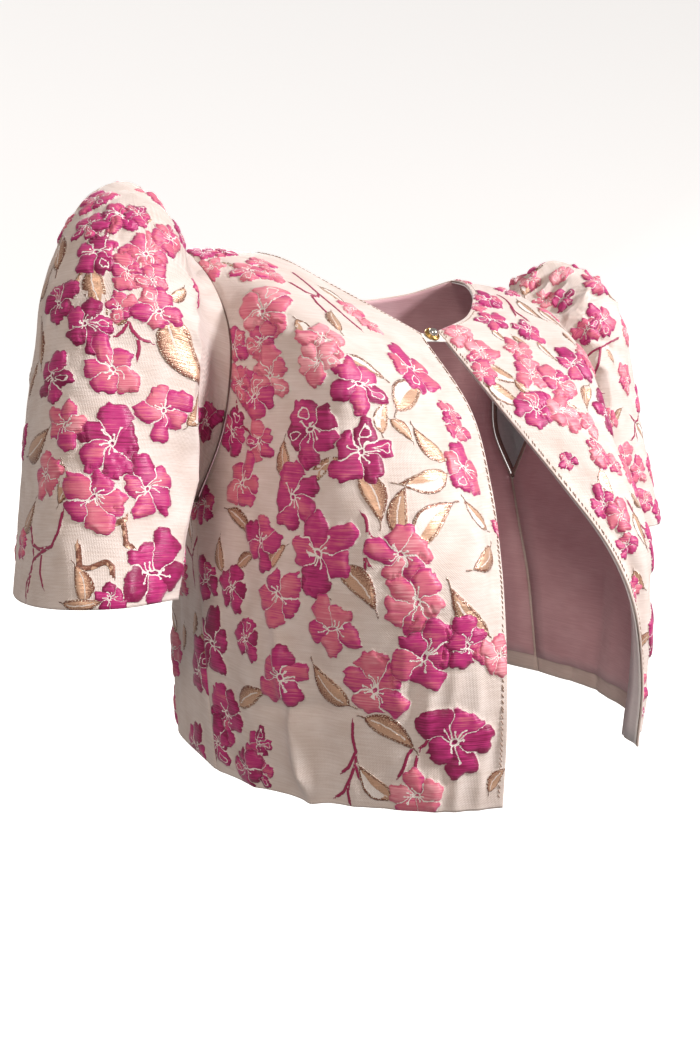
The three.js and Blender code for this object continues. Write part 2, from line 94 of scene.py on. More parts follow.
# %% Points of the fronts, from the open edge to the side, one row for each level
front_levels = np.array([
    [(104, 24, -12), (122, 22, -13), (140, 19, -14), (158, 15, -16), (176, 10, -21)],
    [(97, -2, -20), (118, -9, -23), (139, -15, -25), (158, -16, -28), (175, -14, -34)],
    [(80, -26, -36), (104, -42, -42), (130, -54, -48), (154, -53, -50), (173, -33, -54)],
    [(48, -48, -56), (81, -73, -69), (117, -91, -78), (150, -85, -79), (170, -42, -81)],
    [(0, -65, -71), (54, -97, -96), (105, -117, -106), (147, -103, -110), (168, -37, -113)],
    [(15, -116, -130), (62, -137, -139), (109, -139, -145), (150, -111, -149), (168, -23, -150)],
    [(38, -156, -185), (79, -169, -190), (123, -161, -193), (159, -115, -195), (174, 4, -197)],
    [(59, -183, -230), (94, -188, -234), (133, -168, -237), (165, -114, -240), (178, -3, -240)],
    [(71, -199, -275), (103, -191, -278), (139, -162, -281), (168, -108, -285), (181, -13, -288)],
    [(76, -205, -330), (107, -188, -331), (140, -155, -333), (168, -100, -338), (181.5, -21, -340)],
    [(76, -203, -379), (108, -184, -379), (140, -151, -379), (168, -95, -382), (181, -28, -385)],
], float)
right_front_edge = {4: (20.5, -67, -74), 5: (20, -118, -130)}
neck_corner_level = 4
underarm_level = 6
underarm_share = underarm_level / 10

# %% Points of the back, from the centre to the side
back_levels = np.array([
    [(0, 64, -34), (70, 52, -25), (104, 24, -12), (140, 19, -14), (176, 10, -21)],
    [(0, 74, -50), (57, 68, -45), (104, 45, -30), (143, 38, -30), (175, 23, -35)],
    [(0, 84, -72), (58, 80, -67), (106, 62, -56), (146, 52, -56), (173, 29, -61)],
    [(0, 92, -95), (60, 89, -91), (109, 74, -83), (148, 61, -85), (171, 31, -90)],
    [(0, 98, -120), (61, 96, -117), (111, 83, -112), (149, 66, -116), (170, 29, -121)],
    [(0, 103, -150), (62, 102, -148), (113, 89, -146), (151, 67, -148), (170, 25, -154)],
    [(0, 107, -192), (63, 106, -193), (117, 93, -194), (156, 66, -195), (174, 4, -197)],
    [(0, 110, -236), (64, 109, -237), (120, 95, -238), (160, 64, -240), (178, -3, -240)],
    [(0, 111, -282), (65, 110, -283), (122, 96, -284), (163, 62, -286), (181, -13, -288)],
    [(0, 112, -335), (65, 111, -336), (124, 96, -337), (165, 60, -338), (181.5, -21, -340)],
    [(0, 112, -384), (65, 111, -384), (124, 96, -384), (165, 58, -385), (181, -28, -385)],
], float)

# %% Lengthwise lines of the left sleeve: place round the girth, place on the armhole, points
sleeve_lines = [
    (0, 0, (193, 5, -3), (219, -2, 12), (251, -4, -4), (276, -4, -50),
     (289, -5, -125), (298, -10, -190), (306, -16, -246)),
    (0.12, 0.035, (192, -13, -19), (213, -22, 2), (247, -35, -10), (272, -46, -54),
     (286, -53, -125), (295, -62, -188), (302, -70, -242)),
    (0.24, 0.075, (191, -27, -37), (206, -38, -18), (229, -53, -27), (245, -64, -64),
     (255, -71, -125), (263, -81, -188), (270, -92, -242)),
    (0.34, 0.13, (189, -39, -60), (200, -48, -58), (207, -57, -67), (211, -64, -89),
     (214, -68, -127), (220, -69, -190), (231, -71, -246)),
    (0.44, 0.3, (176, -32, -122), (183, -34, -125), (190, -37, -132), (197, -40, -146),
     (205, -44, -172), (212, -46, -208), (221, -46, -248)),
    (0.54, 0.5, (179, 3, -199), (184, 0, -201), (190, -3, -205), (197, -6, -211),
     (204, -9, -221), (211, -12, -234), (219, -14, -248)),
    (0.64, 0.7, (177, 30, -122), (184, 32, -125), (192, 33, -132), (201, 34, -146),
     (209, 33, -172), (216, 30, -208), (226, 22, -248)),
    (0.78, 0.9, (190, 33, -30), (203, 42, -13), (219, 49, -30), (234, 53, -72),
     (243, 53, -125), (251, 50, -190), (260, 46, -246)),
    (0.9, 0.955, (192, 19, -12), (214, 22, 4), (239, 28, -12), (259, 33, -57),
     (274, 34, -125), (285, 33, -190), (294, 28, -246)),
]


# %% A smooth curve through points, many places at once
def curve_points(points, t, corner=-1, weight=0.0):
    last = len(points) - 1
    scaled = np.clip(t, 0, 1) * last
    index = np.minimum(scaled.astype(int), last - 1)
    local = (scaled - index)[:, None]
    every = np.arange(points.shape[1])
    corner = np.broadcast_to(corner, t.shape)
    weight = np.broadcast_to(weight, t.shape)

    def tangent(i, leaving):
        here = points[i, every]
        before = points[np.maximum(i - 1, 0), every]
        after = points[np.minimum(i + 1, last), every]
        smooth = (after - before) * np.where((i == 0) | (i == last), 1.0, 0.5)[:, None]
        straight = after - here if leaving else here - before
        return smooth + (straight - smooth) * np.where(i == corner, weight, 0.0)[:, None]

    square, cube = local ** 2, local ** 3
    return (points[index, every] * (2 * cube - 3 * square + 1)
            + tangent(index, True) * (cube - 2 * square + local)
            + points[index + 1, every] * (3 * square - 2 * cube)
            + tangent(index + 1, False) * (cube - square))


def repeated(row, count):
    return np.broadcast_to(row[:, None, :], (len(row), count, 3))


# %% Surface of a front: across from the open edge to the side, down from shoulder to hem
def front_surface(side, across, down):
    levels = front_levels.copy()
    if side == "right":
        for level, edge in right_front_edge.items():
            levels[level, 0] = edge
    column = np.stack([curve_points(repeated(row, len(across)), across) for row in levels])
    edge_weight = np.maximum(0, 1 - across * 5)
    side_weight = np.maximum(0, across * 5 - 4)
    at_edge = edge_weight > 0
    corner = np.where(at_edge, neck_corner_level, underarm_level)
    return curve_points(column, down, corner, np.where(at_edge, edge_weight, side_weight))


# %% Surface of the back, whose shoulder takes over the fronts' seam
neck_share = 0.25


def back_surface(across, down):
    half = np.abs(across * 2 - 1)
    left_side = np.where(across < 0.5, -1.0, 1.0)
    column = []
    for level, row in enumerate(back_levels):
        whole = np.concatenate([row[::-1] * (-1, 1, 1), row[1:]])
        neck = np.where(across < 0.5, 2, 6)
        column.append(curve_points(repeated(whole, len(across)), across, neck, max(0, 1 - level / 2)))
    side_weight = np.maximum(0, half * 5 - 4)
    point = curve_points(np.stack(column), down, underarm_level, side_weight)
    own_top = curve_points(np.stack(column), np.zeros_like(across), underarm_level, side_weight)
    along_shoulder = 1 - np.minimum(across, 1 - across) / neck_share
    seam = front_surface("left", np.clip(along_shoulder, 0, 1), np.zeros_like(across))
    seam = seam * np.stack([left_side, np.ones_like(across), np.ones_like(across)], 1)
    fade = np.where(along_shoulder >= 0, np.maximum(0, 1 - down * 20), 0)[:, None]
    return point + (seam - own_top) * fade


# %% Armhole: a loop from the shoulder tip down the front and up the back
def armhole_points(steps=120):
    down = np.linspace(0, underarm_share, steps)
    ones = np.ones_like(down)
    front = front_surface("left", ones, down)
    front_inside = front_surface("left", ones * 0.9, down)
    back = back_surface(ones, down[::-1])[1:-1]
    back_inside = back_surface(ones * 0.975, down[::-1])[1:-1]
    loop = np.concatenate([front, back])
    away = loop - np.concatenate([front_inside, back_inside])
    away /= np.linalg.norm(away, axis=1)[:, None]
    away[:, 0] = np.maximum(away[:, 0], 0.6)
    away /= np.linalg.norm(away, axis=1)[:, None]
    return loop + away * 0.3


armhole_loop = armhole_points()


def armhole_at(share):
    closed = np.vstack([armhole_loop, armhole_loop[:1]])
    lengths = np.concatenate([[0], np.cumsum(np.linalg.norm(np.diff(closed, axis=0), axis=1))])
    target = (share % 1.0) * lengths[-1]
    return np.stack([np.interp(target, lengths, closed[:, k]) for k in range(3)], 1)


# %% Surface of a sleeve: around its girth, and along from the armhole to the hem
def round_curve(values, around):
    values = np.asarray(values, float)
    places = np.array([line[0] for line in sleeve_lines])
    count = len(places)
    k = np.clip(np.searchsorted(places, around, side="right") - 1, 0, count - 1)
    whole_turn = 1.0 if values.shape[1] == 1 else 0.0

    def place(i):
        return places[i % count] + i // count

    def value(i):
        return values[i % count] + (i // count)[:, None] * whole_turn

    step = place(k + 1) - place(k)
    local = ((around - place(k)) / step)[:, None]

    def tangent(i):
        return (value(i + 1) - value(i - 1)) * (step / (place(i + 1) - place(i - 1)))[:, None]

    square, cube = local ** 2, local ** 3
    return (value(k) * (2 * cube - 3 * square + 1) + tangent(k) * (cube - 2 * square + local)
            + value(k + 1) * (3 * square - 2 * cube) + tangent(k + 1) * (cube - square))


def sleeve_surface(around, along):
    share = round_curve([[line[1]] for line in sleeve_lines], around)[:, 0]
    stations = [armhole_at(share)]
    for station in range(2, 9):
        stations.append(round_curve([line[station] for line in sleeve_lines], around))
    return curve_points(np.stack(stations), along)


# %% [markdown]
# ## Folds and pleats
# Cloth that is worn isn't smooth. The sleeve heads are knife pleats, folded towards the shoulder
# tip and set upright in the armhole. The main creases are soft troughs and ridges, each a short line
# on its panel with a width and a height in millimetres. They lie as the photograph shows them, and by
# judgement on the sides that it hides.

# %% Broad folds that the solids have too: across, down, wide, tall, height
broad_folds = {
    "front_right": [
        (0.86, 0.86, 0.05, 0.2, 3.2), (0.74, 0.88, 0.06, 0.2, -2.2), (0.55, 0.82, 0.3, 0.03, -1.6),
        (0.25, 0.72, 0.16, 0.05, 1.6), (0.9, 0.46, 0.06, 0.2, 2.4),
    ],
    "front_left": [
        (0.8, 0.88, 0.06, 0.2, 2.6), (0.5, 0.78, 0.22, 0.04, -1.6), (0.3, 0.58, 0.14, 0.05, 1.4),
        (0.9, 0.42, 0.06, 0.2, 2.0), (0.11, 1.02, 0.06, 0.3, -11),
    ],
    "back": [
        (0.12, 0.8, 0.03, 0.22, 2.6), (0.36, 0.86, 0.04, 0.18, -2.0), (0.62, 0.84, 0.04, 0.2, 2.2),
        (0.89, 0.78, 0.03, 0.22, 2.4),
    ],
}

# %% Creases: start across and down, end across and down, width, height
creases = {
    "front_right": [
        (0.80, 0.76, 0.737, 0.878, 5, 1.9), (0.737, 0.878, 0.66, 1.0, 6, 2.3),
        (0.70, 0.80, 0.62, 1.0, 9, -1.6), (0.84, 0.875, 0.58, 0.862, 6, -1.6),
        (0.443, 0.79, 0.437, 0.86, 4, 1.1), (0.40, 0.80, 0.39, 0.88, 4, -0.9),
        (0.348, 0.83, 0.346, 0.90, 4, 1.1), (0.267, 0.81, 0.262, 0.87, 4, 1.0),
        (0.16, 0.83, 0.146, 0.885, 4, 0.9), (0.943, 0.227, 0.995, 0.47, 9, -2.4),
        (0.936, 0.297, 0.885, 0.55, 7, 2.0), (0.81, 0.43, 0.66, 0.48, 9, -1.6),
        (0.57, 0.30, 0.66, 0.50, 12, 1.4), (0.90, 0.62, 0.86, 0.78, 8, -1.8),
        (0.10, 0.60, 0.09, 0.72, 5, -1.2), (0.05, 0.62, 0.05, 0.78, 4, 1.0),
        (0.30, 0.955, 0.29, 1.0, 5, 1.2), (0.45, 0.95, 0.46, 1.0, 6, -1.2),
        (0.86, 0.93, 0.84, 1.0, 6, 1.8), (0.35, 0.30, 0.50, 0.40, 10, -1.0),
        (0.15, 0.44, 0.30, 0.47, 7, 0.9), (0.22, 0.95, 0.21, 1.0, 4, 1.1),
        (0.56, 0.94, 0.55, 1.0, 5, 1.1), (0.12, 0.94, 0.11, 1.0, 4, 1.0),
        (0.05, 0.88, 0.06, 0.96, 4, -0.9), (0.30, 0.50, 0.22, 0.58, 8, 0.9),
        (0.48, 0.56, 0.36, 0.60, 8, -0.9), (0.60, 0.62, 0.52, 0.78, 8, 1.0),
    ],
    "front_left": [
        (0.40, 0.29, 0.45, 0.52, 9, -1.5), (0.50, 0.24, 0.62, 0.42, 8, 1.4),
        (0.02, 0.22, 0.35, 0.207, 6, -1.3), (0.94, 0.25, 0.99, 0.47, 9, -2.4),
        (0.93, 0.30, 0.88, 0.56, 7, 2.0), (0.20, 0.45, 0.34, 0.62, 8, 1.1),
        (0.78, 0.74, 0.72, 1.0, 6, 2.0), (0.68, 0.78, 0.62, 1.0, 9, -1.6),
        (0.12, 0.62, 0.16, 0.80, 7, -1.2), (0.30, 0.82, 0.30, 0.93, 5, 1.1),
        (0.44, 0.84, 0.43, 0.92, 5, 1.0), (0.22, 0.90, 0.24, 1.0, 6, 1.2),
        (0.90, 0.64, 0.84, 0.80, 8, -1.7), (0.52, 0.60, 0.60, 0.72, 9, -1.2),
        (0.86, 0.92, 0.85, 1.0, 6, 1.6),
    ],
    "back": [
        (0.06, 0.22, 0.03, 0.50, 9, -2.2), (0.94, 0.24, 0.97, 0.50, 9, -2.2),
        (0.10, 0.30, 0.16, 0.56, 8, 1.8), (0.90, 0.32, 0.85, 0.58, 8, 1.7),
        (0.30, 0.20, 0.40, 0.28, 10, -1.4), (0.70, 0.21, 0.61, 0.30, 10, -1.3),
        (0.20, 0.70, 0.23, 1.0, 7, 2.0), (0.31, 0.76, 0.30, 1.0, 8, -1.6),
        (0.44, 0.80, 0.45, 1.0, 7, 1.4), (0.57, 0.78, 0.55, 1.0, 8, -1.5),
        (0.68, 0.72, 0.70, 1.0, 7, 1.8), (0.80, 0.74, 0.78, 1.0, 7, 1.7),
        (0.40, 0.50, 0.58, 0.52, 9, -1.2), (0.44, 0.62, 0.66, 0.60, 8, 1.0),
        (0.08, 0.72, 0.10, 0.92, 6, -1.4), (0.93, 0.70, 0.90, 0.92, 6, -1.5),
    ],
    "sleeve": [
        (0.39, 0.50, 0.40, 0.90, 8, -1.6), (0.03, 0.52, 0.01, 0.68, 6, -1.5),
        (0.05, 0.50, 0.055, 0.66, 5, 1.3), (0.985, 0.50, 0.965, 0.70, 6, -1.5),
        (0.93, 0.55, 0.92, 0.80, 7, 1.2), (0.20, 0.60, 0.24, 0.80, 10, -1.0),
        (0.12, 0.86, 0.16, 1.0, 9, 1.2), (0.26, 0.84, 0.28, 1.0, 8, -1.1),
        (0.70, 0.60, 0.72, 1.0, 9, 1.4), (0.84, 0.66, 0.82, 1.0, 8, -1.3),
        (0.46, 0.20, 0.50, 0.80, 9, -1.6), (0.58, 0.30, 0.56, 0.90, 9, 1.5),
    ],
}


# %% Creases that come to a sharp ridge, laid out in the same way
knife_creases = {
    "front_right": [
        (0.80, 0.77, 0.737, 0.878, 14, 2.4), (0.737, 0.878, 0.66, 1.0, 17, 5.0),
        (0.84, 0.875, 0.58, 0.862, 12, -1.3), (0.57, 0.30, 0.66, 0.50, 24, 1.6),
        (0.30, 0.62, 0.12, 0.68, 16, 1.1), (0.90, 0.55, 0.84, 0.76, 16, -1.8),
        (0.95, 0.24, 0.99, 0.46, 6, -1.8),
    ],
    "front_left": [
        (0.94, 0.25, 0.99, 0.46, 6, -1.8), (0.78, 0.76, 0.73, 1.0, 18, 2.2),
        (0.36, 0.26, 0.45, 0.52, 18, -1.6), (0.56, 0.24, 0.50, 0.50, 20, 1.5),
    ],
    "back": [
        (0.07, 0.24, 0.03, 0.46, 6, -1.6), (0.93, 0.24, 0.97, 0.46, 6, -1.6),
        (0.22, 0.72, 0.24, 1.0, 20, 2.0), (0.69, 0.74, 0.71, 1.0, 20, 2.0),
        (0.46, 0.80, 0.44, 1.0, 18, -1.6),
    ],
    "sleeve_right": [
        (0.322, 0.30, 0.340, 0.46, 12, 2.8), (0.340, 0.46, 0.342, 0.60, 15, 3.6),
        (0.342, 0.60, 0.338, 0.82, 16, 3.9), (0.338, 0.82, 0.330, 1.0, 15, 3.7),
        (0.20, 0.18, 0.14, 0.40, 6, 1.8), (0.262, 0.18, 0.165, 0.42, 6, -2.0),
        (0.27, 0.27, 0.19, 0.46, 6, 1.8), (0.315, 0.22, 0.19, 0.49, 7, -2.2),
        (0.11, 0.10, 0.16, 0.44, 6, 1.6), (0.06, 0.16, 0.085, 0.47, 6, -1.6),
        (0.03, 0.14, 0.04, 0.50, 6, 1.4), (0.97, 0.14, 0.96, 0.46, 6, -1.5),
        (0.93, 0.16, 0.92, 0.44, 6, 1.5), (0.87, 0.16, 0.85, 0.42, 6, -1.6),
        (0.82, 0.18, 0.80, 0.42, 6, 1.5),
    ],
    "sleeve_left": [
        (0.322, 0.30, 0.340, 0.46, 12, 2.0), (0.340, 0.46, 0.342, 0.60, 14, 2.4),
        (0.342, 0.60, 0.330, 1.0, 14, 2.4), (0.315, 0.16, 0.24, 0.36, 8, 3.0),
        (0.24, 0.36, 0.18, 0.50, 8, 2.4), (0.36, 0.24, 0.323, 0.49, 8, -3.0),
        (0.323, 0.49, 0.269, 0.60, 9, -2.2), (0.28, 0.24, 0.19, 0.46, 6, -2.6),
        (0.257, 0.16, 0.163, 0.40, 7, 2.6), (0.225, 0.18, 0.14, 0.38, 6, -2.4),
        (0.20, 0.14, 0.12, 0.36, 6, 2.2), (0.165, 0.10, 0.09, 0.36, 6, -2.2),
        (0.13, 0.10, 0.07, 0.34, 6, 2.0), (0.082, 0.06, 0.03, 0.30, 7, -2.0),
        (0.04, 0.08, 0.0, 0.34, 6, 1.8), (0.97, 0.12, 0.95, 0.44, 6, -1.7),
        (0.92, 0.14, 0.90, 0.44, 6, 1.6), (0.86, 0.16, 0.84, 0.42, 6, -1.6),
    ],
}


# %% Height of the broad folds and of the creases on a panel's points
def fold_height(folds, across, down):
    height = np.zeros_like(across)
    for place, level, wide, tall, rise in folds:
        height += rise * np.exp(-((across - place) / wide) ** 2 - ((down - level) / tall) ** 2)
    return height


crease_strength = 1.6
knife_strength = {
    "front_right": 1.35, "front_left": 1.2, "back": 1.0, "sleeve_right": 1.2, "sleeve_left": 2.0,
}


def crease_height(rows, points, surface, knife=False):
    height = np.zeros(len(points))
    for across0, down0, across1, down1, width, rise in rows:
        ends = surface(np.array([across0, across1]), np.array([down0, down1]))
        line = ends[1] - ends[0]
        share = np.clip((points - ends[0]) @ line / (line @ line), 0, 1)
        wander = width * 0.5 * np.sin(share * 6 + rise * 3)
        side = np.cross(line / np.linalg.norm(line), (0.3, 0.5, 0.8))
        centre = ends[0] + share[:, None] * line + wander[:, None] * side
        distance = np.linalg.norm(points - centre, axis=1)
        taper = 0.45 + 0.55 * np.sin(np.pi * np.clip(share, 0.02, 0.98))
        profile = np.exp(-distance / width * 1.6) if knife else np.exp(-(distance / width) ** 2)
        height += crease_strength * rise * taper * profile
    return height


# %% Knife pleats of the sleeve head, four on each side of the shoulder tip
head_start, head_end = -0.22, 0.34
pleats_per_side = 4
pleat_height = 3.0


def pleat_lift(around, along):
    signed = np.where(around > 0.5, around - 1, around)
    share = np.where(signed > 0, signed / head_end, signed / head_start)
    lean = 0.05 * np.sin(along * 9 + share * 4)
    phase = ((share + lean * (share > 0.05)) * pleats_per_side) % 1
    ridge = np.where(phase < 0.2, phase / 0.2, 1 - (np.maximum(phase - 0.2, 0) / 0.8) ** 0.8)
    reach = 0.36 + 0.12 * np.sin(np.floor(share * pleats_per_side) * 2.1 + 1)
    fade = np.sin(np.pi * np.clip(along / reach, 0, 1)) ** 0.7
    lift = pleat_height * 1.5 * (ridge - 0.5) * fade * np.clip((1 - share) * 4, 0, 1)
    return np.where(share < 1, lift, 0.0)


# %% [markdown]
# ## Fine grids
# A panel's grid has a point every 1.3 to 2.3 mm at its widest. The grid is moved out along its own
# normals by the folds, and its borders roll in slightly where they are sewn, so that each seam reads
# as a groove.

# %% Grid helpers
def grid_normals(points, closed, direction):
    if closed:
        along_row = np.roll(points, -1, axis=1) - np.roll(points, 1, axis=1)
    else:
        along_row = np.gradient(points, axis=1)
    normals = np.cross(along_row, np.gradient(points, axis=0)) * direction
    return normals / np.maximum(np.linalg.norm(normals, axis=2, keepdims=True), 1e-9)


def flat_lengths(points, closed):
    if closed:
        points = np.concatenate([points, points[:, :1]], axis=1)
    across = np.linalg.norm(np.diff(points, axis=1), axis=2).cumsum(axis=1)
    across = np.concatenate([np.zeros((len(points), 1)), across], axis=1)
    down = np.linalg.norm(np.diff(points, axis=0), axis=2).cumsum(axis=0)
    down = np.concatenate([np.zeros((1, points.shape[1])), down], axis=0)
    return across, down


def rolled_border(distance, width=2.8, depth=1.2):
    return -depth * np.exp(-(distance / width) ** 2)


# %% One panel as a record of grids
def panel_record(name, surface, rows, columns, folds, lines, direction, closed=False):
    across_steps = np.linspace(0, 1, columns, endpoint=not closed)
    across, down = np.meshgrid(across_steps, np.linspace(0, 1, rows))
    flat = (across.ravel(), down.ravel())
    smooth = surface(*flat).reshape(rows, columns, 3)
    normals = grid_normals(smooth, closed, direction)
    flat_points = smooth.reshape(-1, 3)
    height = crease_height(lines, flat_points, surface)
    height += knife_strength[name] * crease_height(knife_creases[name], flat_points, surface, True)
    height = height.reshape(rows, columns)
    height = height + fold_height(folds, across, down)
    return {"name": name, "across": across, "down": down, "smooth": smooth, "normals": normals,
            "height": height, "closed": closed, "direction": direction, "surface": surface}


def formed(panel):
    points = panel["smooth"] + panel["normals"] * panel["height"][..., None]
    panel["form"] = points
    panel["form_normals"] = grid_normals(points, panel["closed"], panel["direction"])
    panel["flat"] = flat_lengths(points, panel["closed"])
    return panel


# %% The fronts
front_rows, front_columns = 301, 201
panels = {}
for side in ("right", "left"):
    def this_front(across, down, side=side):
        return front_surface(side, across, down)

    name = f"front_{side}"
    panel = panel_record(name, this_front, front_rows, front_columns, broad_folds[name], creases[name], -1)
    sewn = np.clip(panel["down"] * 20 / 3, 0, 1) * np.clip((1 - panel["across"]) * 6, 0, 1)
    panel["height"] = panel["height"] * sewn
    panels[name] = formed(panel)
    print(name, panel["form"].reshape(-1, 3).min(0).round(), panel["form"].reshape(-1, 3).max(0).round())

# %% The back
back_rows, back_columns = 201, 241
panel = panel_record("back", back_surface, back_rows, back_columns, broad_folds["back"], creases["back"], 1)
to_side = np.minimum(panel["across"], 1 - panel["across"])
panel["height"] = panel["height"] * np.clip(panel["down"] * 20 / 3, 0, 1) * np.clip(to_side * 24, 0, 1)
panels["back"] = formed(panel)
print("back points:", panel["form"].shape)

# %% The sleeves, both laid out for the left arm; the right one is mirrored at the end
sleeve_rows, sleeve_columns = 241, 256
for name in ("sleeve_right", "sleeve_left"):
    panel = panel_record(
        name, sleeve_surface, sleeve_rows, sleeve_columns, [], creases["sleeve"], 1, closed=True)
    held = np.clip(panel["down"] * 12, 0, 1)
    panel["height"] = panel["height"] * held + pleat_lift(panel["across"], panel["down"])
    panels[name] = formed(panel)
    print(name, "points:", panel["form"].shape)

# %% [markdown]
# ## The drawing of the brocade
# Every blossom and leaf is drawn by a formula in its own small frame: x and y run from its middle, as
# shares of its size. The same formula gives the height of the raised threads here and the colour in
# the material, so relief and colour always agree. Blossoms and leaves are placed by their share
# across and down a panel, as they lie in the photograph, and by judgement on the sides that it hides.
# A stem is grown by a formula from its start, its end and a number of side shoots. On the back a
# small repeat is laid out instead.
# This is a generic blossom: five round petals, each a little longer or shorter than the next.

# %% How far a point lies inside a petal
petal_count = 5
petal_step = 2 * math.pi / petal_count


def petal_depth(x, y, seed):
    x, y = (x + 0.055 * np.sin(y * 6.5 + seed * 40) + 0.03 * np.sin(y * 15 - seed * 23),
            y + 0.055 * np.sin(x * 7.0 + seed * 57) + 0.03 * np.sin(x * 14 + seed * 31))
    angle = np.arctan2(y, x)
    sector = np.floor(angle / petal_step + 0.5)
    off = angle - sector * petal_step
    radius = np.hypot(x, y)
    length = 0.86 + 0.14 * np.sin(sector * 2.4 + seed * 6.3)
    length = length * (1 - 0.10 * np.exp(-(off * 9) ** 2))
    share = radius * np.cos(off) / length
    widest = 0.37 + 0.06 * np.sin(sector * 1.7 + seed * 9)
    width = widest * np.sin(math.pi * np.clip(share, 0, 1) ** 1.1) ** 0.55
    return np.where(share < 1, width - np.abs(radius * np.sin(off)), 1 - share)


# %% How far a point lies inside a leaf: x runs from the stalk to the tip
def leaf_depth(x, y, wide):
    along = np.clip(1 - x * x, 0, 1)
    bend = y - 0.2 * (1 - x * x)
    blade = wide * along ** 0.8 * (1 - 0.4 * x) + 0.05
    return np.where(np.abs(x) < 1.3, blade - np.abs(bend), -1.0)


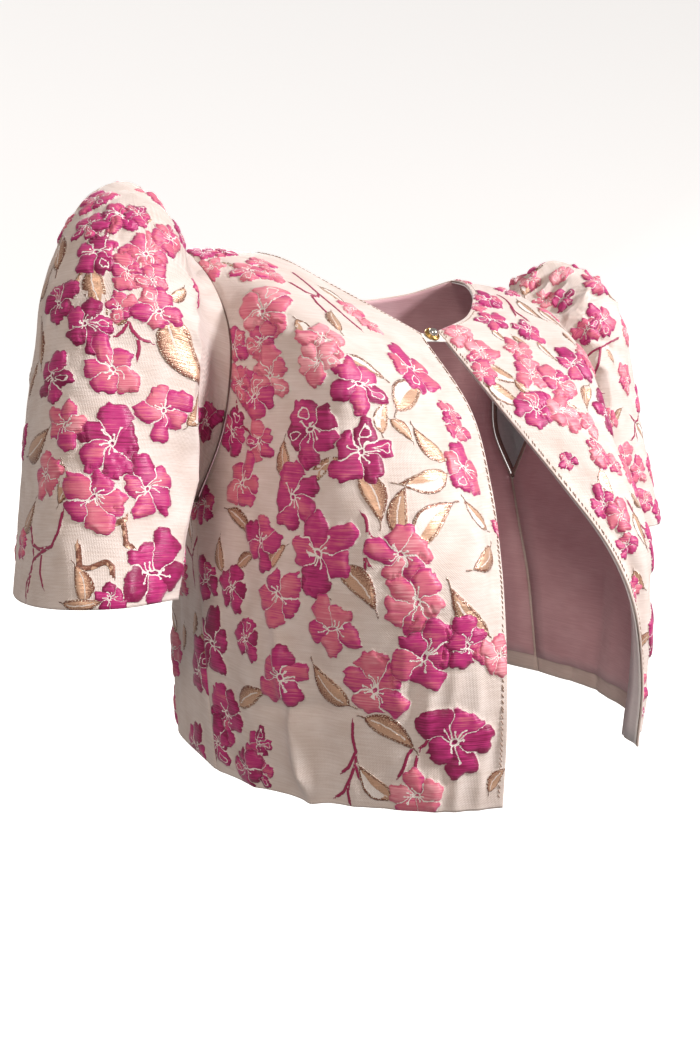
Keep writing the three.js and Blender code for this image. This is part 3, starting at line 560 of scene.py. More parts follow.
# %% Blossoms: across, down, radius in mm, tone from deep magenta to pale rose
blossoms = {
    "front_right": [
        (0.334, 0.412, 24, 0.45), (0.611, 0.427, 20, 0.25), (0.623, 0.523, 22, 0.1),
        (0.764, 0.491, 22, 0.1), (0.663, 0.336, 16, 0.95), (0.721, 0.377, 15, 0.95),
        (0.819, 0.26, 21, 0.8), (0.883, 0.326, 14, 0.6), (0.869, 0.392, 18, 0.8),
        (0.912, 0.427, 19, 0.5), (0.239, 0.277, 13, 0.9), (0.265, 0.316, 10, 0.9),
        (0.986, 0.327, 14, 0.4), (0.964, 0.491, 17, 0.2), (0.885, 0.506, 15, 0.5), (0.9, 0.563, 20, 0.6),
        (0.785, 0.579, 22, 0.3), (0.845, 0.646, 20, 0.3), (0.714, 0.651, 27, 0.3),
        (0.905, 0.723, 17, 0.05), (0.797, 0.72, 21, 0.5), (0.969, 0.808, 24, 0), (0.661, 0.756, 20, 0.6),
        (0.771, 0.828, 22, 0.4), (0.933, 0.9, 22, 0.15), (0.501, 0.656, 21, 0.65),
        (0.444, 0.721, 22, 0.65), (0.513, 0.833, 23, 0.55), (0.379, 0.795, 23, 0.35),
        (0.227, 0.786, 17, 0.3), (0.234, 0.902, 26, 0.1), (0.358, 0.978, 20, 0.75),
        (0.057, 0.811, 14, 0.8), (0.203, 0.513, 14, 0.5), (0.227, 0.561, 20, 0.5),
        (0.212, 0.491, 11, 0.5), (0.826, 0.925, 12, 0.2), (0.0, 0.653, 8, 0.5), (0.823, 0.97, 12, 0.3),
        (0.93, 0.119, 12, 0.8), (0.865, 0.79, 15, 0.15), (0.86, 0.97, 17, 0.1), (0.975, 0.95, 18, 0.1),
        (0.975, 0.72, 17, 0.15), (0.975, 0.6, 15, 0.3), (0.965, 0.4, 13, 0.6), (0.46, 0.13, 12, 0.7),
        (0.56, 0.17, 13, 0.8), (0.70, 0.16, 14, 0.7), (0.66, 0.07, 12, 0.5), (0.84, 0.05, 13, 0.3),
    ],
    "front_left": [
        (0.112, 0.195, 17, 0.3), (0.124, 0.284, 17, 0.3), (0.322, 0.279, 17, 0.3),
        (0.053, 0.384, 17, 0.85), (0.124, 0.407, 17, 0.85), (0.265, 0.357, 16, 0.65),
        (0.282, 0.416, 20, 0.7), (0.379, 0.421, 20, 0.6), (0.053, 0.449, 14, 0.6),
        (0.155, 0.489, 21, 0.3), (0.279, 0.486, 19, 0.9), (0.389, 0.501, 14, 0.9),
        (0.115, 0.564, 9, 0.3), (0.301, 0.549, 14, 0.7), (0.36, 0.564, 11, 0.7), (0.148, 0.623, 14, 0.4),
        (0.193, 0.643, 14, 0.6), (0.146, 0.694, 11, 0.4), (0.098, 0.771, 11, 0.5),
        (0.012, 0.06, 12, 0.7), (0.02, 0.24, 11, 0.6), (0.52, 0.36, 20, 0.3), (0.66, 0.34, 17, 0.8),
        (0.62, 0.47, 23, 0.1), (0.78, 0.44, 19, 0.6), (0.5, 0.58, 21, 0.55), (0.7, 0.6, 24, 0.2),
        (0.86, 0.56, 18, 0.8), (0.42, 0.7, 20, 0.3), (0.6, 0.74, 21, 0.7), (0.82, 0.72, 20, 0.4),
        (0.3, 0.84, 22, 0.1), (0.5, 0.88, 20, 0.6), (0.7, 0.88, 23, 0.2), (0.9, 0.86, 18, 0.9),
        (0.1, 0.93, 18, 0.5), (0.42, 0.98, 15, 0.3), (0.86, 0.98, 14, 0.2), (0.48, 0.1, 15, 0.4),
        (0.82, 0.2, 18, 0.7),
    ],
    "back": [],
    "sleeve_right": [
        (0.152, 0.533, 19, 0.15), (0.166, 0.447, 18, 0.35), (0.197, 0.411, 12, 0.35),
        (0.07, 0.427, 16, 0.35), (0.106, 0.491, 15, 0.3), (0.01, 0.489, 13, 0.6),
        (0.245, 0.485, 19, 0.55), (0.219, 0.547, 15, 0.6), (0.265, 0.529, 14, 0.55),
        (0.089, 0.609, 18, 0.15), (0.16, 0.631, 20, 0), (0.217, 0.601, 12, 0.55),
        (0.276, 0.581, 19, 0.5), (0.267, 0.375, 16, 0.6), (0.09, 0.691, 20, 0), (0.207, 0.677, 22, 0.55),
        (0.21, 0.77, 27, 0.15), (0.29, 0.737, 22, 0.5), (0.126, 0.745, 18, 0.6), (0.087, 0.81, 18, 0.7),
        (0.184, 0.842, 24, 0.5), (0.272, 0.83, 23, 0.35), (0.285, 0.952, 30, 0.05),
        (0.212, 0.984, 12, 0.1), (0.977, 0.766, 14, 0.15), (0.455, 0.307, 19, 0.1),
        (0.385, 0.938, 13, 0.3), (0.004, 0.912, 13, 0.5), (0.34, 0.25, 13, 0.5), (0.1, 0.25, 16, 0.7),
        (0.22, 0.22, 15, 0.3), (0.42, 0.6, 18, 0.3), (0.5, 0.8, 20, 0.6), (0.6, 0.5, 20, 0.2),
        (0.68, 0.7, 23, 0.1), (0.62, 0.9, 21, 0.7), (0.74, 0.86, 20, 0.4), (0.78, 0.6, 19, 0.8),
        (0.84, 0.76, 21, 0.1), (0.88, 0.94, 20, 0.5), (0.9, 0.6, 18, 0.3), (0.82, 0.4, 19, 0.6),
        (0.93, 0.42, 18, 0.2), (0.72, 0.45, 16, 0.7), (0.88, 0.25, 16, 0.4), (0.96, 0.3, 15, 0.8),
        (0.8, 0.2, 12, 0.3), (0.5, 0.97, 16, 0.2),
    ],
    "sleeve_left": [
        (0.295, 0.449, 20, 0.5), (0.337, 0.353, 16, 0.4), (0.174, 0.116, 15, 0.9),
        (0.127, 0.242, 14, 0.9), (0.023, 0.118, 14, 0.8), (0.214, 0.379, 17, 0.5),
        (0.336, 0.749, 13, 0.7), (0.299, 0.83, 19, 0.75), (0.259, 0.858, 16, 0.6),
        (0.257, 0.932, 15, 0.6), (0.189, 0.567, 16, 0.8), (0.26, 0.66, 18, 0.7), (0.08, 0.38, 18, 0.5),
        (0.1, 0.55, 21, 0.2), (0.02, 0.48, 17, 0.7), (0.14, 0.7, 23, 0.4), (0.04, 0.66, 20, 0.1),
        (0.16, 0.86, 22, 0.6), (0.06, 0.84, 20, 0.3), (0.2, 0.97, 16, 0.2), (0.97, 0.75, 21, 0.5),
        (0.96, 0.58, 18, 0.3), (0.97, 0.95, 19, 0.8), (0.88, 0.66, 22, 0.1), (0.88, 0.86, 21, 0.6),
        (0.78, 0.76, 20, 0.2), (0.7, 0.6, 20, 0.7), (0.68, 0.88, 23, 0.4), (0.6, 0.7, 18, 0.5),
        (0.56, 0.92, 20, 0.2), (0.44, 0.8, 18, 0.8), (0.42, 0.55, 17, 0.3), (0.9, 0.42, 17, 0.6),
        (0.8, 0.45, 18, 0.3), (0.94, 0.26, 15, 0.4), (0.84, 0.26, 14, 0.7), (0.62, 0.45, 17, 0.5),
        (0.4, 0.95, 15, 0.3), (0.24, 0.2, 14, 0.2),
    ],
}

# %% Gold leaves: stalk across and down, tip across and down, width share, 1 where it is open work
leaves = {
    "front_right": [
        (0.532, 0.306, 0.44, 0.27, 0.4, 0), (0.716, 0.29, 0.735, 0.337, 0.4, 1),
        (0.632, 0.377, 0.506, 0.414, 0.25, 1), (0.47, 0.462, 0.33, 0.442, 0.55, 1),
        (0.554, 0.497, 0.525, 0.46, 0.4, 1), (0.511, 0.486, 0.453, 0.513, 0.5, 0),
        (0.332, 0.544, 0.422, 0.503, 0.42, 0), (0.341, 0.558, 0.494, 0.564, 0.4, 1),
        (0.625, 0.553, 0.575, 0.604, 0.45, 0), (0.511, 0.626, 0.494, 0.573, 0.35, 0),
        (0.453, 0.636, 0.325, 0.599, 0.4, 1), (0.115, 0.638, 0.239, 0.599, 0.4, 1),
        (0.091, 0.669, 0.22, 0.685, 0.5, 0), (0.143, 0.778, 0.317, 0.711, 0.3, 0),
        (0.663, 0.673, 0.568, 0.721, 0.45, 0), (0.764, 0.698, 0.70, 0.708, 0.6, 0),
        (0.599, 0.855, 0.692, 0.815, 0.48, 0), (0.527, 0.876, 0.396, 0.907, 0.36, 0),
        (0.451, 0.983, 0.532, 0.942, 0.45, 1), (0.754, 0.554, 0.692, 0.531, 0.34, 0),
        (0.809, 0.554, 0.828, 0.508, 0.42, 0), (0.916, 0.608, 0.871, 0.643, 0.28, 0),
        (0.933, 0.699, 0.938, 0.654, 0.4, 0), (0.895, 0.688, 0.864, 0.669, 0.45, 0),
        (0.823, 0.679, 0.797, 0.649, 0.45, 0), (0.881, 0.878, 0.821, 0.855, 0.5, 0),
        (0.222, 0.22, 0.22, 0.262, 0.35, 1), (0.064, 0.973, 0.007, 0.947, 0.4, 0),
        (0.85, 0.12, 0.76, 0.139, 0.35, 0),
    ],
    "front_left": [
        (0.432, 0.162, 0.484, 0.219, 0.35, 1), (0.239, 0.314, 0.3, 0.33, 0.6, 0),
        (0.146, 0.317, 0.222, 0.342, 0.35, 1), (0.11, 0.427, 0.191, 0.445, 0.35, 1),
        (0.048, 0.462, 0.113, 0.487, 0.35, 1), (0.365, 0.309, 0.432, 0.352, 0.28, 1),
        (0.6, 0.185, 0.65, 0.244, 0.28, 1), (0.57, 0.269, 0.601, 0.295, 0.5, 0),
        (0.177, 0.447, 0.191, 0.467, 0.35, 0), (0.341, 0.456, 0.379, 0.47, 0.3, 1),
        (0.241, 0.576, 0.229, 0.607, 0.45, 1), (0.365, 0.609, 0.42, 0.629, 0.5, 0),
        (0.308, 0.643, 0.301, 0.694, 0.35, 1), (0.143, 0.741, 0.184, 0.768, 0.4, 0),
        (0.55, 0.42, 0.48, 0.46, 0.42, 0), (0.7, 0.52, 0.78, 0.51, 0.45, 0),
        (0.58, 0.66, 0.52, 0.64, 0.4, 1), (0.74, 0.67, 0.78, 0.65, 0.45, 0),
        (0.62, 0.82, 0.56, 0.8, 0.42, 0), (0.2, 0.84, 0.14, 0.86, 0.45, 0),
        (0.6, 0.95, 0.64, 0.98, 0.4, 1),
    ],
    "back": [],
    "sleeve_right": [
        (0.06, 0.565, 0.02, 0.515, 0.35, 0), (0.12, 0.6, 0.134, 0.555, 0.35, 0),
        (0.156, 0.563, 0.192, 0.611, 0.4, 0), (0.193, 0.385, 0.239, 0.405, 0.5, 0),
        (0.299, 0.54, 0.316, 0.46, 0.5, 0), (0.289, 0.595, 0.35, 0.66, 0.42, 0),
        (0.203, 0.625, 0.23, 0.601, 0.5, 0), (0.046, 0.671, 0.02, 0.631, 0.4, 0),
        (0.02, 0.782, 0.08, 0.754, 0.5, 0), (0.122, 0.842, 0.124, 0.798, 0.34, 0),
        (0.01, 0.888, 0.049, 0.85, 0.34, 0), (0.17, 0.985, 0.158, 0.938, 0.42, 0),
        (0.14, 0.99, 0.195, 0.986, 0.3, 0), (0.005, 0.6, 0.029, 0.555, 0.35, 0),
        (0.325, 0.755, 0.347, 0.699, 0.5, 1), (0.982, 0.707, 0.011, 0.675, 0.3, 0),
        (0.55, 0.62, 0.6, 0.6, 0.42, 0), (0.74, 0.76, 0.78, 0.72, 0.42, 0),
        (0.68, 0.56, 0.64, 0.52, 0.4, 1), (0.88, 0.7, 0.93, 0.68, 0.42, 0),
        (0.56, 0.82, 0.6, 0.84, 0.4, 0), (0.8, 0.92, 0.82, 0.87, 0.4, 1),
        (0.86, 0.34, 0.9, 0.3, 0.42, 0),
    ],
    "sleeve_left": [
        (0.07, 0.05, 0.0, 0.19, 0.3, 1), (0.317, 0.56, 0.303, 0.61, 0.5, 0),
        (0.319, 0.76, 0.293, 0.733, 0.4, 0), (0.184, 0.138, 0.204, 0.196, 0.4, 0),
        (0.18, 0.48, 0.14, 0.45, 0.42, 0), (0.06, 0.58, 0.04, 0.54, 0.42, 0),
        (0.12, 0.78, 0.09, 0.75, 0.45, 0), (0.22, 0.76, 0.19, 0.79, 0.4, 1),
        (0.95, 0.85, 0.92, 0.81, 0.42, 0), (0.84, 0.6, 0.87, 0.55, 0.42, 0),
        (0.76, 0.66, 0.72, 0.69, 0.4, 1), (0.63, 0.8, 0.59, 0.83, 0.42, 0),
    ],
}

# %% Stems and gold tendrils: start across and down, end across and down, side shoots
stems = {
    "front_right": [
        (0.29, 0.17, 0.49, 0.28, 2), (0.62, 0.60, 0.57, 0.64, 1), (0.60, 0.63, 0.61, 0.69, 1),
        (0.57, 0.88, 0.56, 0.995, 3), (0.33, 0.89, 0.42, 0.95, 1), (0.97, 0.44, 0.90, 0.52, 1),
    ],
    "front_left": [
        (0.3, 0.62, 0.38, 0.7, 1), (0.56, 0.9, 0.56, 0.995, 2), (0.24, 0.15, 0.36, 0.24, 1),
    ],
    "back": [],
    "sleeve_right": [
        (0.235, 0.59, 0.252, 0.66, 2), (0.045, 0.86, 0.035, 0.99, 0), (0.13, 0.86, 0.04, 0.98, 2),
        (0.45, 0.66, 0.5, 0.76, 1), (0.7, 0.5, 0.72, 0.6, 1),
    ],
    "sleeve_left": [
        (0.37, 0.43, 0.35, 0.67, 1), (0.2, 0.74, 0.266, 0.79, 2), (0.92, 0.7, 0.99, 0.7, 1),
    ],
}
tendrils = {"sleeve_right": [(0.16, 0.905, 0.216, 0.955, 1), (0.19, 0.875, 0.25, 0.91, 1)]}


# %% A stem sways a little from start to end, and its short shoots leave it on alternate sides
def twig(start_across, start_down, end_across, end_down, shoots, number, sway):
    share = np.linspace(0, 1, 7)
    start = np.array([start_across, start_down])
    run = np.array([end_across, end_down]) - start
    aside = np.array([-run[1], run[0]])
    swing = sway * np.sin(share * 5.5 + number * 1.9) * np.sin(np.pi * share)
    stalk = start + share[:, None] * run + swing[:, None] * aside
    lines = [stalk]
    for shoot in range(shoots):
        root = stalk[2 + shoot]
        side = (-1) ** (shoot + number)
        tip = root + run * 0.24 + aside * side * (0.28 + 0.06 * math.sin(number + shoot * 2))
        lines.append(np.array([root, (root + tip) / 2 + run * 0.06, tip]))
    return [np.clip(line, 0.002, 0.998) for line in lines]


def grown(rows, sway):
    return [line for number, row in enumerate(rows) for line in twig(*row, number, sway)]


branches = {name: grown(rows, 0.14) for name, rows in stems.items()}
gold_branches = {name: grown(rows, 0.36) for name, rows in tendrils.items()}
print("stem lines:", {name: len(lines) for name, lines in branches.items()})

# %% A repeat of the same figures for the back, charted: x and y in mm on a tile
repeat_width, repeat_height = 150, 172
repeat_stagger, repeat_top = 74, -12
drawn_width, drawn_height = 430, 360
repeat_blossoms = [
    (20, 24, 21, 0.1), (58, 14, 17, 0.6), (98, 30, 24, 0.3), (136, 12, 15, 0.9), (30, 62, 19, 0.8),
    (70, 56, 16, 0.3), (124, 66, 22, 0.55), (16, 104, 23, 0.35), (60, 98, 27, 0.2), (104, 104, 18, 0.7),
    (140, 110, 16, 0.1), (38, 142, 18, 0.5), (82, 146, 22, 0.05), (124, 150, 21, 0.65),
    (6, 150, 13, 0.9),
]
repeat_leaves = [
    (40, 38, 52, 30, 0.42, 0), (120, 40, 132, 34, 0.42, 0), (94, 66, 86, 80, 0.4, 1),
    (46, 76, 36, 84, 0.45, 0), (84, 120, 90, 132, 0.42, 0), (128, 128, 120, 138, 0.4, 1),
    (58, 130, 62, 146, 0.38, 0), (2, 74, 12, 82, 0.45, 0), (104, 132, 106, 144, 0.5, 0),
]
repeat_stems = [
    [(76, 76), (84, 90), (82, 104)], [(84, 90), (94, 84)], [(22, 126), (28, 142), (22, 160)],
    [(28, 142), (40, 160)], [(144, 44), (142, 58), (134, 70)], [(143, 50), (149, 58)],
]


def lay_out_repeat(name, wide, tall):
    step = 0
    for tile_row in range(3):
        for tile_column in range(-1, 4):
            left = tile_column * repeat_width + (tile_row % 2) * repeat_stagger
            top = tile_row * repeat_height + repeat_top

            def share(x, y):
                return (round((left + x) / wide, 3), round((top + y) / tall, 3))

            def on_panel(place):
                return -0.02 < place[0] < 1.02 and -0.02 < place[1] < 1.02

            for x, y, size, tone in repeat_blossoms:
                if on_panel(share(x, y)):
                    blossoms[name].append((*share(x, y), size, tone))
                    step += 1
            for x0, y0, x1, y1, width, form in repeat_leaves:
                if on_panel(share(x0, y0)):
                    leaves[name].append((*share(x0, y0), *share(x1, y1), width, form))
            for line in repeat_stems:
                if on_panel(share(*line[0])):
                    branches[name].append([share(x, y) for x, y in line])
    return step


print("blossoms laid out on the back:", lay_out_repeat("back", drawn_width, drawn_height))

# %% [markdown]
# ## Writing the figures onto the grids
# Each face of a grid belongs to the topmost figure that covers it. It keeps that figure's own x and
# y at its four corners, so the material can draw fine lines that are thinner than a face. The
# height of the raised threads is a real shape, so that the light catches the puffed petals.

# %% Corners of the grid's faces
kind_ground, kind_blossom, kind_leaf, kind_open_leaf, kind_stem, kind_tendril = 0, 1, 2, 3, 4, 5


def face_corners(rows, columns, closed):
    spans = columns if closed else columns - 1
    row, column = np.meshgrid(np.arange(rows - 1), np.arange(spans), indexing="ij")
    here, below = row * columns, (row + 1) * columns
    beside = (column + 1) % columns
    corners = [here + column, below + column, below + beside, here + beside]
    return np.stack([corner.ravel() for corner in corners], 1)


# %% Local frame of a figure on the surface
def figure_frame(panel, across, down, toward=None):
    across = across % 1 if panel["closed"] else min(max(across, 0.0), 0.99)
    down = min(max(down, 0.0), 0.99)
    small = 0.004
    middle, beside, below = panel["surface"](np.array([across, across + small, across]),
                                             np.array([down, down, down + small]))
    sideways = (beside - middle) / np.linalg.norm(beside - middle)
    downwards = below - middle
    normal = np.cross(sideways, downwards)
    normal /= np.linalg.norm(normal)
    if toward is not None:
        sideways = toward - middle - normal * ((toward - middle) @ normal)
        sideways /= np.linalg.norm(sideways)
    return middle, sideways, np.cross(normal, sideways), normal


# %% Write one figure: where it covers a face, its numbers replace what was there
def write_figure(panel, x, y, near, depth, size, look, height):
    covered = (depth > -1.3 / size) & near
    corners = panel["corners"]
    faces = covered[corners].any(axis=1) & near[corners].all(axis=1)
    chosen = corners[faces]
    pushed = faces & (panel["look"][:, 0] != kind_ground)
    panel["under_place"][pushed] = panel["place"][pushed]
    panel["under_look"][pushed] = panel["look"][pushed]
    panel["place"][faces] = np.stack([x[chosen], y[chosen], np.full(chosen.shape, size)], 2)
    panel["look"][faces] = look
    inside = near & (depth > 0)
    panel["relief"][inside] = np.maximum(height[inside], 0.45 * panel["relief"][inside])
    border = near & (depth <= 0) & (depth > -1.2 / size)
    panel["relief"][border] = np.minimum(panel["relief"][border], 0.1)


# %% Blossoms, leaves and lines
blossom_scale = {
    "front_right": 1.14, "front_left": 1.12, "back": 1.14, "sleeve_right": 0.94, "sleeve_left": 1.0,
}
leaf_scale = 1.2
widest_leaf = 0.42


def write_blossom(panel, row, number):
    across, down, radius, tone = row
    radius = radius * blossom_scale[panel["drawn_as"]]
    seed = (number * 0.381966) % 1
    points = panel["smooth"].reshape(-1, 3)
    middle, side, below, normal = figure_frame(panel, across, down)
    turn_by = seed * 5.1
    x_axis = side * math.cos(turn_by) + below * math.sin(turn_by)
    y_axis = below * math.cos(turn_by) - side * math.sin(turn_by)
    offset = points - middle
    x, y = offset @ x_axis / radius, offset @ y_axis / radius
    near = (np.abs(offset @ normal) < radius * 0.9) & (np.hypot(x, y) < 1.15)
    depth = petal_depth(x, y, seed)
    puff = 0.5 + 1.45 * np.clip(depth / 0.24, 0, 1) ** 0.65
    puff = np.where(depth > 0, puff, 0.0) * min(1.0, radius / 18)
    puff = puff - 0.5 * np.exp(-(np.hypot(x, y) / 0.2) ** 2)
    write_figure(panel, x, y, near, depth, radius, (kind_blossom, tone, seed), puff)


def write_leaf(panel, row, number):
    across0, down0, across1, down1, wide, form = row
    wide = min(wide, widest_leaf)
    points = panel["smooth"].reshape(-1, 3)
    turned = across1 - across0
    if panel["closed"] and abs(turned) > 0.5:
        across1 -= math.copysign(1, turned)
    ends = panel["surface"](np.array([across0, across1]) % 1.00001, np.array([down0, down1]))
    middle = ((across0 + across1) / 2) % 1.00001
    centre, x_axis, y_axis, normal = figure_frame(panel, middle, (down0 + down1) / 2, ends[1])
    half = np.linalg.norm(ends[1] - ends[0]) / 2 * leaf_scale
    offset = points - centre
    x, y = offset @ x_axis / half, offset @ y_axis / half
    near = (np.abs(offset @ normal) < half) & (np.abs(x) < 1.42) & (np.abs(y) < 0.9)
    depth = leaf_depth(x, y, wide)
    seed = (number * 0.618034) % 1
    puff = np.where(depth > 0, 0.3 + 0.6 * np.clip(depth / 0.2, 0, 1) ** 0.6, 0.0)
    if form:
        puff = np.where(depth > 0, 0.55 - 0.4 * np.clip(depth / 0.15, 0, 1), 0.0)
    kind = kind_open_leaf if form else kind_leaf
    write_figure(panel, x, y, near, depth, half, (kind, wide, seed), puff)


# %% A line is thin, so each face keeps its distance from the nearest stretch of the line
def write_line(panel, line, kind, half_width):
    points = panel["smooth"].reshape(-1, 3)
    normals = panel["normals"].reshape(-1, 3)
    nodes = panel["surface"](np.array([p[0] for p in line]), np.array([p[1] for p in line]))
    distance = np.full(len(points), 1e3)
    signed = np.full(len(points), 1e3)
    length_along = np.zeros(len(points))
    for start, end in zip(nodes[:-1], nodes[1:]):
        length = np.linalg.norm(end - start)
        run = (end - start) / length
        offset = points - start
        nearest = np.clip(offset @ run, 0, length)
        away = offset - nearest[:, None] * run
        from_line = np.linalg.norm(away, axis=1)
        closer = from_line < distance
        side = np.sign(away @ np.cross(run, normals[np.argmin(from_line)]))
        distance[closer] = from_line[closer]
        signed[closer] = (from_line * side)[closer]
        length_along[closer] = nearest[closer]
    corners = panel["corners"]
    faces = (distance[corners] < half_width + 1.6).any(axis=1)
    drawn = panel["look"][:, 0] != kind_ground
    already = np.where(drawn, np.abs(panel["place"][:, :, 1]).min(axis=1), 1e3)
    faces &= distance[corners].min(axis=1) < already
    chosen = corners[faces]
    size = np.full(chosen.shape, half_width)
    panel["place"][faces] = np.stack([length_along[chosen], signed[chosen], size], 2)
    panel["look"][faces] = (kind, 0.3, 0.5)
    ridge = 0.9 * np.exp(-(distance / half_width) ** 2)
    panel["relief"] = np.maximum(panel["relief"], ridge)


# %% Draw all figures of one panel
def draw_brocade(panel, name):
    rows, columns = panel["smooth"].shape[:2]
    panel["corners"] = face_corners(rows, columns, panel["closed"])
    faces = len(panel["corners"])
    panel["place"] = np.zeros((faces, 4, 3))
    panel["look"] = np.zeros((faces, 3))
    panel["under_place"] = np.zeros((faces, 4, 3))
    panel["under_look"] = np.zeros((faces, 3))
    panel["relief"] = np.zeros(rows * columns)
    panel["drawn_as"] = name
    for line in branches[name]:
        write_line(panel, line, kind_stem, 1.1)
    for line in gold_branches.get(name, []):
        write_line(panel, line, kind_tendril, 1.6)
    for number, row in enumerate(leaves[name]):
        write_leaf(panel, row, number + 1)
    for number, row in enumerate(blossoms[name]):
        write_blossom(panel, row, number + 1)
    figured = np.mean(panel["look"][:, 0] > 0)
    print(name, "faces:", faces, "figured share:", round(float(figured), 2))


# %% [markdown]
# ## From grid to cloth
# A panel is one closed shell: the figured face outside, a plain back of the cloth inside and a
# narrow rim between them. The inside needs no relief, so it takes every second point only.

# %% Small unevenness of woven cloth, from a few crossing waves
def weave_unevenness(points):
    x, y, z = points[..., 0], points[..., 1], points[..., 2]
    slow = np.sin(x / 17 + 1.3 * np.sin(z / 23)) * np.sin(z / 19 + y / 29 + 0.7)
    quick = np.sin(x / 7.3 + y / 9.1 + 2 * np.sin(z / 13)) * np.sin(z / 6.1 - x / 15)
    return 0.35 * slow + 0.16 * quick


# %% Join an outer and an inner grid into one shell
def shell_faces(rows, columns, closed):
    corners = face_corners(rows, columns, closed)
    faces = [tuple(face) for face in corners.tolist()]
    inner_rows = (rows + 1) // 2
    inner_columns = columns // 2 if closed else (columns + 1) // 2
    start = rows * columns
    inner = face_corners(inner_rows, inner_columns, closed)[:, ::-1] + start
    faces += [tuple(face) for face in inner.tolist()]

    def outer_at(i, j):
        return i * columns + j % columns

    def inner_at(i, j):
        return start + i * inner_columns + j % inner_columns

    def add_rim(outer_places, inner_places, flip):
        rim = [outer_at(*place) for place in outer_places] + [inner_at(*place) for place in inner_places]
        faces.append(tuple(rim[::-1] if flip else rim))

    spans = inner_columns if closed else inner_columns - 1
    for m in range(spans):
        for i, k, flip in ((0, 0, False), (rows - 1, inner_rows - 1, True)):
            add_rim([(i, 2 * m), (i, 2 * m + 1), (i, 2 * m + 2)], [(k, m + 1), (k, m)], flip)
    if not closed:
        for m in range(inner_rows - 1):
            for j, k, flip in ((0, 0, True), (columns - 1, inner_columns - 1, False)):
                add_rim([(2 * m, j), (2 * m + 1, j), (2 * m + 2, j)], [(m + 1, k), (m, k)], flip)
    return faces, len(corners), len(inner)


# %% Make the Blender object of a shell
def signed_volume(points, faces):
    first = points[[face[0] for face in faces]]
    second = points[[face[1] for face in faces]]
    third = points[[face[2] for face in faces]]
    return np.einsum("ij,ij->i", first, np.cross(second, third)).sum()


def make_object(name, points, faces):
    mesh = bpy.data.meshes.new(name)
    mesh.from_pydata((points * 0.001).tolist(), [], faces)
    mesh.polygons.foreach_set("use_smooth", [True] * len(faces))
    mesh.update()
    piece = bpy.data.objects.new(name, mesh)
    bpy.context.scene.collection.objects.link(piece)
    return piece


def closed_piece(name, points, faces, material, mirrored=False):
    if mirrored:
        points = points * (-1, 1, 1)
    if signed_volume(points, faces) < 0:
        faces = [face[::-1] for face in faces]
    piece = make_object(name, points, faces)
    piece.data.materials.append(material)
    return piece


def write_corners(mesh, attribute, values):
    layer = mesh.attributes.new(attribute, "FLOAT_VECTOR", "CORNER")
    layer.data.foreach_set("vector", values.astype(np.float32).ravel())


# %% Cloth panel with pattern, relief, seams and the rolled borders
brocade_wall = 1.6
half_seam = 0.15


def draw_in(points, closed, seams):
    result = points.copy()
    if "top" in seams:
        step = points[1] - points[0]
        result[0] += step * (half_seam / np.linalg.norm(step, axis=1)[:, None])
    if "start" in seams:
        step = points[:, 1] - points[:, 0]
        result[:, 0] += step * (half_seam / np.linalg.norm(step, axis=1)[:, None])
    if "end" in seams:
        step = points[:, -2] - points[:, -1]
        result[:, -1] += step * (half_seam / np.linalg.norm(step, axis=1)[:, None])
    return result


def border_roll(panel, seams):
    across, down = panel["flat"]
    across = across[:, :panel["smooth"].shape[1]]
    down = down[:, :panel["smooth"].shape[1]]
    roll = np.zeros(panel["smooth"].shape[:2])
    if "top" in seams:
        roll += rolled_border(down)
    if "start" in seams:
        roll += rolled_border(across)
    if "end" in seams:
        roll += rolled_border(across[:, -1:] - across)
    return roll


def level_lengths(panel, down):
    if panel["closed"]:
        return down - down[-1:]
    height = panel["form"][..., 2]
    middle = height.shape[1] // 2
    falling = np.minimum.accumulate(height[:, middle]) - np.arange(len(height)) * 1e-4
    return np.interp(-height, -falling, down[:, middle])


